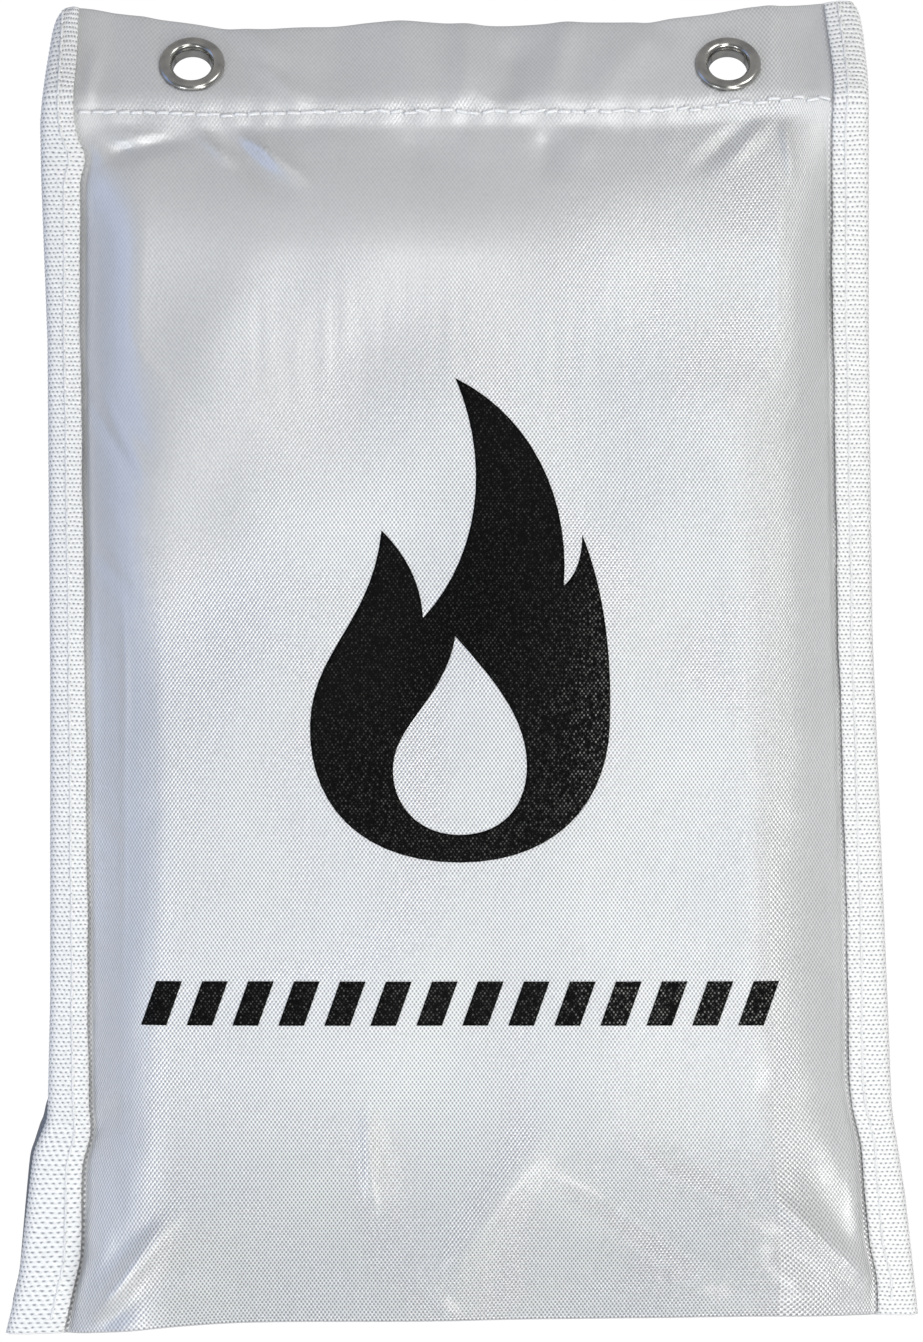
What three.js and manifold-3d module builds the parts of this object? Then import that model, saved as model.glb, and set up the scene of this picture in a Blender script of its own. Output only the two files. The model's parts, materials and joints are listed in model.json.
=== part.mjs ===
// A soft wall pouch with a folded fire blanket inside, in millimetres: x across, +y towards the wall, +z up.
// Two cloth panels are joined by a binding tape down each side and by a seam below the header. The mouth is
// at the bottom. The origin is midway between the two eyelets that the pouch hangs by.
import * as THREE from "three";
import { RoundedBoxGeometry } from "three/addons/geometries/RoundedBoxGeometry.js";
import { mergeVertices } from "three/addons/utils/BufferGeometryUtils.js";
import Module from "manifold-3d";

const wasm = await Module();
wasm.setup();

// Driving dimensions
const gap = 0.3; // air between pieces that touch
const blanketWidth = 144;
const blanketHeight = 238;
const blanketThickness = 22;
const blanketCorner = 9; // radius of the folded block's edges
const blanketInset = 8; // the block's lower edge above the front lip
const topRoom = 14.5; // free height above the block, below the header seam's flat stack
const frontRoom = 1.5; // air in front of the block
const clothThickness = 0.5;
const shoulderInset = 2.4; // the flat front ends this far inside the block's side
const slopeWidth = 11.9; // width of the cloth's fall from the flat front to the side seam
const shoulderLength = 30; // height of the cloth's fall from the flat front to the header seam
const bindingMargin = 1; // flat cloth inside the binding's inner edge
const bindingCover = 8.5; // how far the binding reaches in over the cloth
const bindingThickness = 0.9;
const flare = 8; // how far each side spreads at the mouth
const flareHeight = 46;
const flareCurve = 1.1; // 1 is a straight spread
const backLip = 8; // the back panel's lower edge above the front lip
const seamMargin = 3.5; // flat stack below the header seam
const hemOverlap = 2.6; // the turned hem's reach below the header seam
const bendStart = 1; // the header bends back this far above its seam
const bendRadius = 6;
const headerTilt = THREE.MathUtils.degToRad(32);
const eyeletSpacing = 118;
const eyeletBore = 4.25; // radius
const eyeletWall = 0.5;
const eyeletFlange = 7.25; // radius
const eyeletDome = 0.9; // height of the flange's crown
const eyeletTopMargin = 3.2; // from the eyelet to the header's top fold
const washerThickness = 0.5;
const threadWidth = 0.5;
const threadThickness = 0.4;
const bindingStitchInset = 4.6; // from the binding's outer edge
const stitchEndMargin = 3;
const tabSpacing = 104;
const tabWidth = 20;
const tabThickness = 1;
const tabRootLength = 40;
const tabLength = 55;
const tabCorner = 4;
const tabPivotDrop = 3; // the tape's bend lies this far below the back lip
const patchThickness = 0.8;
const patchHeight = 28;
const patchStart = 16; // the patch's lower edge above the tape's bend

// Sizes that follow
const layer = clothThickness + gap; // from one cloth layer's middle to the next in a stack
const stackHalf = layer + clothThickness / 2;
const bindingInner = stackHalf + gap;
const bindingOuter = bindingInner + bindingThickness;
const frontMiddle = blanketThickness / 2 + frontRoom + clothThickness / 2;
const tabRootMiddle = blanketThickness / 2 + gap + tabThickness / 2;
const backMiddle = tabRootMiddle + tabThickness / 2 + 2 * gap + clothThickness / 2;
const flatHalf = blanketWidth / 2 - shoulderInset;
const halfWidth = flatHalf + slopeWidth + bindingMargin + bindingCover;
const bulgeTop = blanketInset + blanketHeight + topRoom;
const seamHeight = bulgeTop + seamMargin;
const bendArc = bendRadius * headerTilt;
const eyeletPlace = seamHeight + bendStart + bendArc + eyeletFlange;
const headerTop = eyeletPlace + eyeletFlange + eyeletTopMargin;
const holeRadius = eyeletBore + eyeletWall + gap;
const loopMiddle = backMiddle + clothThickness / 2 + gap + patchThickness / 2;
const hookMiddle = loopMiddle + patchThickness + gap;
const tabMiddle = hookMiddle + patchThickness / 2 + gap + tabThickness / 2;
const pivotHeight = backLip - tabPivotDrop;

const eyeletSegments = 28;
const bightSteps = 6;

const materials = {
  coatedCloth: new THREE.MeshStandardMaterial({ color: 0xcfd2d6, roughness: 0.45, metalness: 0 }),
  bindingTape: new THREE.MeshStandardMaterial({ color: 0xf2f2f0, roughness: 0.8, metalness: 0 }),
  nickel: new THREE.MeshStandardMaterial({ color: 0xc9c9c6, roughness: 0.2, metalness: 1 }),
  thread: new THREE.MeshStandardMaterial({ color: 0xe8e8e6, roughness: 0.6, metalness: 0 }),
  glassFibre: new THREE.MeshStandardMaterial({ color: 0xf1efe8, roughness: 0.7, metalness: 0 }),
  webbing: new THREE.MeshStandardMaterial({ color: 0x39424f, roughness: 0.8, metalness: 0 }),
  hookAndLoop: new THREE.MeshStandardMaterial({ color: 0x24282e, roughness: 0.95, metalness: 0 }),
};

/** Evenly spaced numbers from first to last, both included. */
function steps(first, last, count) {
  return Array.from({ length: count + 1 }, (_, i) => first + ((last - first) * i) / count);
}

/** How far the middle of the side seam lies from the centre at a height along the pouch. */
function sideAt(along) {
  const spread = Math.max(0, 1 - along / flareHeight);
  return halfWidth + flare * spread ** flareCurve;
}

/** A point at a length along the pouch's seam plane, and a distance behind it. */
function seamPlane(x, along, behind) {
  const past = Math.max(0, along - seamHeight - bendStart);
  const turned = Math.min(headerTilt, past / bendRadius);
  const straight = Math.max(0, past - bendArc);
  const y = bendRadius * (1 - Math.cos(turned)) + straight * Math.sin(turned);
  const z = along - past + bendRadius * Math.sin(turned) + straight * Math.cos(turned);
  return new THREE.Vector3(x, y + behind * Math.cos(turned), z - behind * Math.sin(turned));
}

/** A place across a panel: |across| is 0 to 1 on the flat, 1 to 2 on the slope and 2 to 3 under the binding. */
function acrossX(across, along) {
  const side = sideAt(along);
  const slopeEnd = side - bindingCover - bindingMargin;
  const edge = side - bindingOuter;
  const place = Math.abs(across);
  const onSlope = THREE.MathUtils.clamp(place - 1, 0, 1);
  const onFlange = THREE.MathUtils.clamp(place - 2, 0, 1);
  const x = flatHalf * Math.min(place, 1) + (slopeEnd - flatHalf) * onSlope + (edge - slopeEnd) * onFlange;
  return Math.sign(across) * x;
}

/** The share of its full depth that a panel stands out from the seam plane. */
function bulgeAt(across, along) {
  const sideways = Math.sin((Math.PI / 2) * THREE.MathUtils.clamp(2 - Math.abs(across), 0, 1));
  const upward = Math.sin((Math.PI / 2) * THREE.MathUtils.clamp((bulgeTop - along) / shoulderLength, 0, 1));
  return sideways * upward;
}

/** The front cloth's middle surface, which turns over at the header's top and ends as a hem behind it. */
function frontCloth(across, run) {
  const foldStart = headerTop - layer - clothThickness / 2;
  const foldLength = Math.PI * layer;
  const turn = THREE.MathUtils.clamp((run - foldStart) / foldLength, 0, 1) * Math.PI;
  const afterFold = Math.max(0, run - foldStart - foldLength);
  const along = Math.min(run, foldStart) + layer * Math.sin(turn) - afterFold;
  const bulge = run < foldStart ? (frontMiddle - layer) * bulgeAt(across, along) : 0;
  return seamPlane(acrossX(across, along), along, -layer * Math.cos(turn) - bulge);
}

/** The back cloth's middle surface, which ends inside the header. */
function backCloth(across, along) {
  return seamPlane(acrossX(across, along), along, backMiddle * bulgeAt(across, along));
}

/** A closed geometry from points and triangles, turned so that its faces point out. */
function closedGeometry(points, triangles) {
  const volume = triangles.reduce((sum, [a, b, c]) => {
    return sum + points[a].dot(new THREE.Vector3().crossVectors(points[b], points[c]));
  }, 0);
  const turned = volume < 0 ? triangles.map(([a, b, c]) => [a, c, b]) : triangles;
  const geometry = new THREE.BufferGeometry();
  const flat = points.flatMap((point) => point.toArray());
  geometry.setAttribute("position", new THREE.Float32BufferAttribute(flat, 3));
  geometry.setIndex(turned.flat());
  geometry.computeVertexNormals();
  return geometry;
}

/** Cloth of even thickness about a middle surface that is given at stations across and along it. */
function clothShell(surface, acrossStations, alongStations) {
  const nudge = 0.01;
  const columns = acrossStations.length;
  const rows = alongStations.length;
  const points = [];
  for (const side of [-1, 1]) {
    for (const along of alongStations) {
      for (const across of acrossStations) {
        const rise = surface(across, along + nudge).sub(surface(across, along - nudge));
        const run = surface(across + nudge, along).sub(surface(across - nudge, along));
        const normal = rise.cross(run).normalize();
        points.push(surface(across, along).addScaledVector(normal, (side * clothThickness) / 2));
      }
    }
  }
  const index = (side, row, column) => (side * rows + row) * columns + column;
  const triangles = [];
  const quad = (a, b, c, d) => triangles.push([a, b, c], [a, c, d]);
  for (let row = 1; row < rows; row += 1) {
    for (let column = 1; column < columns; column += 1) {
      const corners = [[row - 1, column - 1], [row - 1, column], [row, column], [row, column - 1]];
      quad(...corners.map(([r, c]) => index(0, r, c)));
      quad(...corners.map(([r, c]) => index(1, r, c)).reverse());
    }
    quad(index(0, row, 0), index(1, row, 0), index(1, row - 1, 0), index(0, row - 1, 0));
    const last = columns - 1;
    quad(index(0, row - 1, last), index(1, row - 1, last), index(1, row, last), index(0, row, last));
  }
  for (let column = 1; column < columns; column += 1) {
    quad(index(0, 0, column - 1), index(1, 0, column - 1), index(1, 0, column), index(0, 0, column));
    const top = rows - 1;
    quad(index(0, top, column), index(1, top, column), index(1, top, column - 1), index(0, top, column - 1));
  }
  return closedGeometry(points, triangles);
}

/** A closed section, a list of [sideways, behind] pairs, carried through stations by a placing function. */
function sweep(section, stations, place) {
  const points = stations.flatMap((station) => section.map((corner) => place(station, ...corner)));
  const count = section.length;
  const triangles = [];
  for (let row = 1; row < stations.length; row += 1) {
    for (let i = 0; i < count; i += 1) {
      const [a, b] = [(row - 1) * count + i, (row - 1) * count + ((i + 1) % count)];
      triangles.push([a, b, b + count], [a, b + count, a + count]);
    }
  }
  const outline = section.map((corner) => new THREE.Vector2(...corner));
  const cap = THREE.ShapeUtils.triangulateShape(outline, []);
  const clockwise = THREE.ShapeUtils.isClockWise(outline);
  const far = (stations.length - 1) * count;
  for (const [a, b, c] of cap) {
    triangles.push(clockwise ? [a, b, c] : [a, c, b]);
    triangles.push(clockwise ? [far + a, far + c, far + b] : [far + a, far + b, far + c]);
  }
  return closedGeometry(points, triangles);
}

/** A solid for joining and cutting, from a closed geometry. */
function toSolid(geometry) {
  const bare = geometry.clone();
  bare.deleteAttribute("normal");
  bare.deleteAttribute("uv");
  const merged = mergeVertices(bare);
  const vertProperties = new Float32Array(merged.attributes.position.array);
  return new wasm.Manifold(new wasm.Mesh({ numProp: 3, vertProperties, triVerts: new Uint32Array(merged.index.array) }));
}

/** The geometry of a solid. */
function fromSolid(solid) {
  const mesh = solid.getMesh();
  const geometry = new THREE.BufferGeometry();
  geometry.setAttribute("position", new THREE.Float32BufferAttribute(mesh.vertProperties, mesh.numProp));
  geometry.setIndex(Array.from(mesh.triVerts));
  geometry.computeVertexNormals();
  return geometry;
}

/** The geometry with the header's two eyelet holes cut through it. */
function withEyeletHoles(geometry) {
  const cutterLength = 4 * bindingOuter;
  let solid = toSolid(geometry);
  for (const side of [-1, 1]) {
    const cutter = new THREE.CylinderGeometry(holeRadius, holeRadius, cutterLength, eyeletSegments);
    cutter.rotateX(-headerTilt);
    cutter.translate(...seamPlane((side * eyeletSpacing) / 2, eyeletPlace, 0).toArray());
    solid = solid.subtract(toSolid(cutter));
  }
  return fromSolid(solid);
}

function mesh(name, geometry, material) {
  const piece = new THREE.Mesh(geometry, material);
  piece.name = name;
  return piece;
}

/** Stations across a panel, closer together on the slopes. */
function panelStations() {
  const half = [...steps(0.5, 1, 1), ...steps(1, 2, 6).slice(1), 3];
  return [...half.map((place) => -place).reverse(), 0, ...half];
}

/** Stations along the cloth from its lower edge to the header's bend. */
function bodyStations(lowerEdge) {
  const spread = steps(lowerEdge, flareHeight, 5);
  const shoulder = steps(bulgeTop - shoulderLength, bulgeTop, 7);
  const bend = steps(seamHeight + bendStart, seamHeight + bendStart + bendArc, 3);
  return [...spread, ...shoulder, ...bend];
}

function frontPanel() {
  const foldStart = headerTop - layer - clothThickness / 2;
  const foldEnd = foldStart + Math.PI * layer;
  const mirrored = (along) => foldStart + foldEnd - along;
  const bend = steps(seamHeight + bendStart, seamHeight + bendStart + bendArc, 3).reverse();
  const behind = [...bend, seamHeight - hemOverlap].map(mirrored);
  const stations = [...bodyStations(0), ...steps(foldStart, foldEnd, 5), ...behind];
  return mesh("front_panel", withEyeletHoles(clothShell(frontCloth, panelStations(), stations)), materials.coatedCloth);
}

function backPanel() {
  const top = headerTop - 2 * layer;
  const shell = clothShell(backCloth, panelStations(), [...bodyStations(backLip), top]);
  return mesh("back_panel", withEyeletHoles(shell), materials.coatedCloth);
}

/** A tape folded round the side seam, from the mouth to the header's top. */
function binding(name, side) {
  const arc = (radius, from, to) =>
    steps(from, to, bightSteps).map((angle) => [
      bindingOuter - radius * Math.cos(angle),
      radius * Math.sin(angle),
    ]);
  const quarter = Math.PI / 2;
  const section = [
    [bindingCover, -bindingOuter],
    ...arc(bindingOuter, -quarter, quarter),
    [bindingCover, bindingOuter],
    [bindingCover, bindingInner],
    ...arc(bindingInner, quarter, -quarter),
    [bindingCover, -bindingInner],
  ];
  const place = (along, inward, behind) => seamPlane(side * (sideAt(along) - inward), along, behind);
  return mesh(name, sweep(section, [...bodyStations(0), headerTop], place), materials.bindingTape);
}

/** A thread's section, centred on a line that is a distance behind the seam plane. */
function threadSection(middle) {
  const [w, t] = [threadWidth / 2, threadThickness / 2];
  return [[-w, middle - t], [w, middle - t], [w, middle + t], [-w, middle + t]];
}

/** The stitching down one side's binding, on the front (face -1) or the back (face 1). */
function bindingThread(name, side, face) {
  const middle = face * (bindingOuter + gap + threadThickness / 2);
  const inside = bodyStations(stitchEndMargin).filter((along) => along >= stitchEndMargin);
  const stations = [...inside, headerTop - stitchEndMargin];
  const place = (along, sideways, behind) =>
    seamPlane(side * (sideAt(along) - bindingStitchInset) + sideways, along, behind);
  return mesh(name, sweep(threadSection(middle), stations, place), materials.thread);
}

/** The header seam's stitching, from binding to binding, on the front (face -1) or the back (face 1). */
function headerThread(name, face) {
  const middle = face * (stackHalf + gap + threadThickness / 2);
  const end = halfWidth - bindingCover - gap;
  const place = (x, upward, behind) => seamPlane(x, seamHeight + upward, behind);
  return mesh(name, sweep(threadSection(middle), steps(-end, end, 1), place), materials.thread);
}

/** A hanging eyelet: a domed flange in front, and a barrel whose end is rolled over the washer behind. */
function eyelet(name) {
  const face = -bindingInner;
  const barrel = eyeletBore + eyeletWall;
  const curl = bindingInner + washerThickness + gap;
  const curlRadius = barrel + 1.2;
  const profile = [
    [eyeletBore, face + 0.2],
    [eyeletBore + 0.3, face - eyeletDome / 2],
    [barrel + 0.6, face - eyeletDome],
    [eyeletFlange - 0.6, face - 0.7 * eyeletDome],
    [eyeletFlange, face],
    [barrel, face],
    [barrel, curl],
    [curlRadius, curl],
    [curlRadius, curl + 0.3],
    [barrel + 0.4, curl + eyeletWall],
    [eyeletBore + 0.2, curl + 0.2],
    [eyeletBore, curl - 0.3],
  ];
  const outline = [...profile, profile[0]].map(([radius, behind]) => new THREE.Vector2(radius, behind));
  return mesh(name, new THREE.LatheGeometry(outline, eyeletSegments), materials.nickel);
}

/** The flat ring behind the header that the eyelet's barrel is rolled over. */
function eyeletWasher(name) {
  const [front, back] = [bindingInner, bindingInner + washerThickness];
  const corners = [[holeRadius, front], [eyeletFlange, front], [eyeletFlange, back], [holeRadius, back]];
  const outline = [...corners, corners[0]].map(([radius, behind]) => new THREE.Vector2(radius, behind));
  return mesh(name, new THREE.LatheGeometry(outline, eyeletSegments), materials.nickel);
}

/** One side's eyelet and washer, in the header's plane. */
function eyeletSet(name, side) {
  const set = new THREE.Group();
  set.position.copy(seamPlane((side * eyeletSpacing) / 2, eyeletPlace, 0));
  set.rotation.x = -headerTilt;
  set.add(eyelet(`${name}_eyelet`), eyeletWasher(`${name}_eyelet_washer`));
  return set;
}

function foldedBlanket() {
  const block = new RoundedBoxGeometry(blanketWidth, blanketThickness, blanketHeight, 3, blanketCorner);
  block.deleteAttribute("normal");
  block.deleteAttribute("uv");
  const piece = mesh("folded_blanket", mergeVertices(block), materials.glassFibre);
  piece.geometry.computeVertexNormals();
  piece.position.z = blanketInset + blanketHeight / 2;
  return piece;
}

/** An upright rectangle of tape or patch, whose lower edge is at a height and whose middle is at a depth. */
function strip(name, x, depth, height, width, length, thickness, material) {
  const piece = mesh(name, new THREE.BoxGeometry(width, thickness, length), material);
  piece.position.set(x, depth, height + length / 2);
  return piece;
}

/** The loose end of a pull tab, with its free corners rounded. */
function pullTab(name, x) {
  const half = tabWidth / 2;
  const outline = new THREE.Shape();
  outline.moveTo(-half, gap / 2);
  outline.lineTo(half, gap / 2);
  outline.lineTo(half, tabLength - tabCorner);
  outline.absarc(half - tabCorner, tabLength - tabCorner, tabCorner, 0, Math.PI / 2, false);
  outline.absarc(tabCorner - half, tabLength - tabCorner, tabCorner, Math.PI / 2, Math.PI, false);
  const tape = new THREE.ExtrudeGeometry(outline, { depth: tabThickness, bevelEnabled: false, curveSegments: 5 });
  tape.rotateX(Math.PI / 2);
  const piece = mesh(name, tape, materials.webbing);
  piece.position.set(x, tabMiddle + tabThickness / 2, pivotHeight);
  return piece;
}

/** One side's pull tab: its sewn root, its loose end and the two patches that keep it up behind the pouch. */
function tabSet(name, side) {
  const x = (side * tabSpacing) / 2;
  const patchBase = pivotHeight + patchStart;
  const { webbing, hookAndLoop } = materials;
  const rootBase = pivotHeight + gap / 2;
  return [
    strip(`${name}_tab_root`, x, tabRootMiddle, rootBase, tabWidth, tabRootLength, tabThickness, webbing),
    pullTab(`${name}_pull_tab`, x),
    strip(`${name}_loop_patch`, x, loopMiddle, patchBase, tabWidth, patchHeight, patchThickness, hookAndLoop),
    strip(`${name}_hook_patch`, x, hookMiddle, patchBase, tabWidth, patchHeight, patchThickness, hookAndLoop),
  ];
}

const pouch = new THREE.Group();
pouch.add(frontPanel(), backPanel(), foldedBlanket());
pouch.add(headerThread("header_needle_thread", -1), headerThread("header_bobbin_thread", 1));
for (const [name, side] of [["left", -1], ["right", 1]]) {
  pouch.add(binding(`${name}_binding`, side), eyeletSet(name, side), ...tabSet(name, side));
  pouch.add(bindingThread(`${name}_binding_needle_thread`, side, -1));
  pouch.add(bindingThread(`${name}_binding_bobbin_thread`, side, 1));
}
pouch.position.copy(seamPlane(0, eyeletPlace, 0)).negate();

const fireBlanket = new THREE.Group();
fireBlanket.add(pouch);
export default fireBlanket;
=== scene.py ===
"""The looks of a soft wall pouch that holds a folded fire blanket.

Shapes are worked out in millimetres in the pouch's own frame: x across, y towards the wall and z up from
the front lip. PouchForm.row turns them into the row frame's metres when a mesh is made.
"""
import json
import logging
import math
from dataclasses import dataclass, field
from enum import Enum
from functools import cached_property
from typing import Callable

import bmesh
import bpy
import numpy as np
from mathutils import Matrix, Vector
from mathutils.bvhtree import BVHTree
from mathutils.geometry import delaunay_2d_cdt


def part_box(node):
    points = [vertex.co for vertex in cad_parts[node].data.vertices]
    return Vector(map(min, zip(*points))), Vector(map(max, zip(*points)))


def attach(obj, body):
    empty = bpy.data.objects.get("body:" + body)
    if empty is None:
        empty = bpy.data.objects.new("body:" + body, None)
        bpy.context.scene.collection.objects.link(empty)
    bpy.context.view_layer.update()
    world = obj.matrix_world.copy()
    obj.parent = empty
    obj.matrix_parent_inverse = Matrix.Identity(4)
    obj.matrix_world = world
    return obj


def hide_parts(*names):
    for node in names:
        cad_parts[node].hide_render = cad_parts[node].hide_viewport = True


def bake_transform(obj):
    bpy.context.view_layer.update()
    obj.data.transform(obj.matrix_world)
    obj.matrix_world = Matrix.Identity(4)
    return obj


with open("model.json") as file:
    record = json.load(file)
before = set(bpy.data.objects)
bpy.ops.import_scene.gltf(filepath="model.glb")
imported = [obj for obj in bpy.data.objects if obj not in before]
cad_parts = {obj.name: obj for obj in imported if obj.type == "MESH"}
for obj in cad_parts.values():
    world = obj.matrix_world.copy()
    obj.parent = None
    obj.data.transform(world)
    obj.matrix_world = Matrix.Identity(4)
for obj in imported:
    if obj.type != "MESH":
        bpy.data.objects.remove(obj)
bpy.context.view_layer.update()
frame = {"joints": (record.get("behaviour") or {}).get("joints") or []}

LOG = logging.getLogger("fire_blanket")
MM = 0.001
WEAVE_MAP = "Weave"
Colour = tuple[float, float, float]
Curve = Callable[[np.ndarray], np.ndarray]


class Body(Enum):
    """The rigid bodies that pieces ride on."""

    POUCH = "pouch"
    BLANKET = "blanket"
    LEFT_TAB = "left_tab"
    RIGHT_TAB = "right_tab"


class Side(Enum):
    """A side of the pouch, seen from the front."""

    LEFT = -1
    RIGHT = 1

    @property
    def label(self) -> str:
        """The side's name as pieces carry it."""
        return self.name.lower()

    @property
    def tab(self) -> Body:
        """The body of this side's loose pull tab."""
        return Body.LEFT_TAB if self is Side.LEFT else Body.RIGHT_TAB


class Face(Enum):
    """The front or the back of the seam plane."""

    FRONT = -1
    BACK = 1


# ---------------------------------------------------------------------------------------------- shaders


class Signal:
    """A shader socket that can be used in arithmetic."""

    def __init__(self, board: "Board", socket: bpy.types.NodeSocket) -> None:
        """Wraps a socket of a board's node tree."""
        self.board = board
        self.socket = socket

    def _math(self, operation: str, *terms: "Signal | float") -> "Signal":
        """Adds one Math node on the terms."""
        return self.board.node("ShaderNodeMath", {"operation": operation}, dict(enumerate(terms)))

    def __add__(self, other: "Signal | float") -> "Signal":
        """The sum."""
        return self._math("ADD", self, other)

    def __radd__(self, other: float) -> "Signal":
        """The sum, with the number first."""
        return self._math("ADD", other, self)

    def __sub__(self, other: "Signal | float") -> "Signal":
        """The difference."""
        return self._math("SUBTRACT", self, other)

    def __rsub__(self, other: float) -> "Signal":
        """The difference, with the number first."""
        return self._math("SUBTRACT", other, self)

    def __mul__(self, other: "Signal | float") -> "Signal":
        """The product."""
        return self._math("MULTIPLY", self, other)

    def __rmul__(self, other: float) -> "Signal":
        """The product, with the number first."""
        return self._math("MULTIPLY", other, self)

    def __abs__(self) -> "Signal":
        """The size without its sign."""
        return self._math("ABSOLUTE", self)

    def sine(self) -> "Signal":
        """The sine of the value in radians."""
        return self._math("SINE", self)

    def smooth(self, low: float, high: float) -> "Signal":
        """A smooth step from 0 at low to 1 at high."""
        settings = {"interpolation_type": "SMOOTHSTEP"}
        inputs = {"Value": self, "From Min": low, "From Max": high}
        return self.board.node("ShaderNodeMapRange", settings, inputs)

    def wave(self, pitch: float, shift: "Signal | float" = 0.0) -> "Signal":
        """A sine wave from -1 to 1 with a pitch in the value's own unit.

        Args:
            pitch: The length of one wave.
            shift: An angle in radians that is added to the wave's own.

        Returns:
            The wave's height.
        """
        return (self * (2 * math.pi / pitch) + shift).sine()


class Board:
    """A material's node tree round one Principled shader."""

    def __init__(self, name: str) -> None:
        """Makes an empty material with its shader and output."""
        self.material = bpy.data.materials.new(name)
        self.material.use_nodes = True
        self.tree = self.material.node_tree
        self.tree.nodes.clear()
        self.shader = self.tree.nodes.new("ShaderNodeBsdfPrincipled")
        output = self.tree.nodes.new("ShaderNodeOutputMaterial")
        self.tree.links.new(self.shader.outputs["BSDF"], output.inputs["Surface"])

    def _plug(self, socket: bpy.types.NodeSocket, value: object) -> None:
        """Links a signal to a socket, or sets its constant."""
        if isinstance(value, Signal):
            self.tree.links.new(value.socket, socket)
        elif isinstance(value, tuple) and len(value) == 3 and socket.type == "RGBA":
            socket.default_value = (*value, 1.0)
        else:
            socket.default_value = value

    def node(
        self, kind: str, settings: dict | None = None, inputs: dict | None = None, output: int = 0
    ) -> Signal:
        """Adds a node.

        Args:
            kind: The node's type name.
            settings: Its properties; "stops" holds a colour ramp's (position, colour) pairs.
            inputs: Values or signals by socket name or number.
            output: Which output to return.

        Returns:
            The chosen output.
        """
        made = self.tree.nodes.new(kind)
        for key, value in (settings or {}).items():
            if key == "stops":
                self._set_stops(made.color_ramp, value)
            else:
                setattr(made, key, value)
        for key, value in (inputs or {}).items():
            self._plug(made.inputs[key], value)
        return Signal(self, made.outputs[output])

    @staticmethod
    def _set_stops(ramp: bpy.types.ColorRamp, stops: list[tuple[float, Colour]]) -> None:
        """Gives a colour ramp its stops."""
        while len(ramp.elements) < len(stops):
            ramp.elements.new(0.5)
        for element, (position, colour) in zip(ramp.elements, stops):
            element.position = position
            element.color = (*colour, 1.0)

    def flat(self) -> tuple[Signal, Signal]:
        """The place on the cloth as it was cut, across and along, in metres."""
        place = self.node("ShaderNodeUVMap", {"uv_map": WEAVE_MAP})
        return tuple(self.node("ShaderNodeSeparateXYZ", None, {0: place}, output=axis) for axis in (0, 1))

    def noise(self, scale: float, detail: float = 2.0, stretch: tuple = (1.0, 1.0, 1.0)) -> Signal:
        """Noise in the object's own space, from about 0 to 1.

        Args:
            scale: Waves in a metre.
            detail: Octaves.
            stretch: A factor on the scale along each axis.

        Returns:
            The noise.
        """
        place = self.node("ShaderNodeTexCoord", output=3)
        scaled = self.node("ShaderNodeVectorMath", {"operation": "MULTIPLY"}, {0: place, 1: stretch})
        return self.node("ShaderNodeTexNoise", None, {"Vector": scaled, "Scale": scale, "Detail": detail})

    def mix(self, share: "Signal | float", first: "Signal | Colour", second: "Signal | Colour") -> Signal:
        """A colour between two colours."""
        return self.node("ShaderNodeMix", {"data_type": "RGBA"}, {0: share, 6: first, 7: second}, output=2)

    def bump(
        self, height: Signal, distance: float, strength: float = 1.0, under: Signal | None = None
    ) -> Signal:
        """A normal that stands for a height, on top of another bump if there is one."""
        inputs = {"Height": height, "Distance": distance, "Strength": strength}
        if under is not None:
            inputs["Normal"] = under
        return self.node("ShaderNodeBump", None, inputs)

    def dress(self, **sockets: object) -> bpy.types.Material:
        """Sets the shader's sockets, whose names are written with underscores."""
        for name, value in sockets.items():
            self._plug(self.shader.inputs[name.replace("_", " ")], value)
        return self.material


def weave_of(board: Board, wide: float, tall: float) -> tuple[Signal, Signal]:
    """A plain weave whose painted glare is strongest towards the right and the mouth.

    Args:
        board: The material's board.
        wide: The pitch across, in metres.
        tall: The pitch along, in metres.

    Returns:
        The weave's height from -1 to 1, and how clearly it shows, which is painted glare: about 0.2 away
        from the glare, 1 where it falls, and up to 1.7 by the mouth.
    """
    across, along = board.flat()
    weave = across.wave(wide) * along.wave(tall)
    patch = board.noise(22.0, 2.0)
    # Painted glare: the weave shows clearer and the cloth lighter on the lower right and by the mouth, less
    # on the side slopes and the header.
    glare_side = (across - along * 1.15 + patch * 0.05).smooth(-0.165, -0.085)
    middle = across.smooth(0.018, 0.032) * (0.0 - across).smooth(-0.176, -0.160)
    header = along.smooth(0.258, 0.266) * 0.55
    mouth = (0.0 - along).smooth(-0.060, -0.010) * 0.8
    clear = glare_side * (middle * 0.75 + 0.25) * (1.0 - header) * (mouth + 1.0)
    return weave, clear * 0.85 + 0.15


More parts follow.
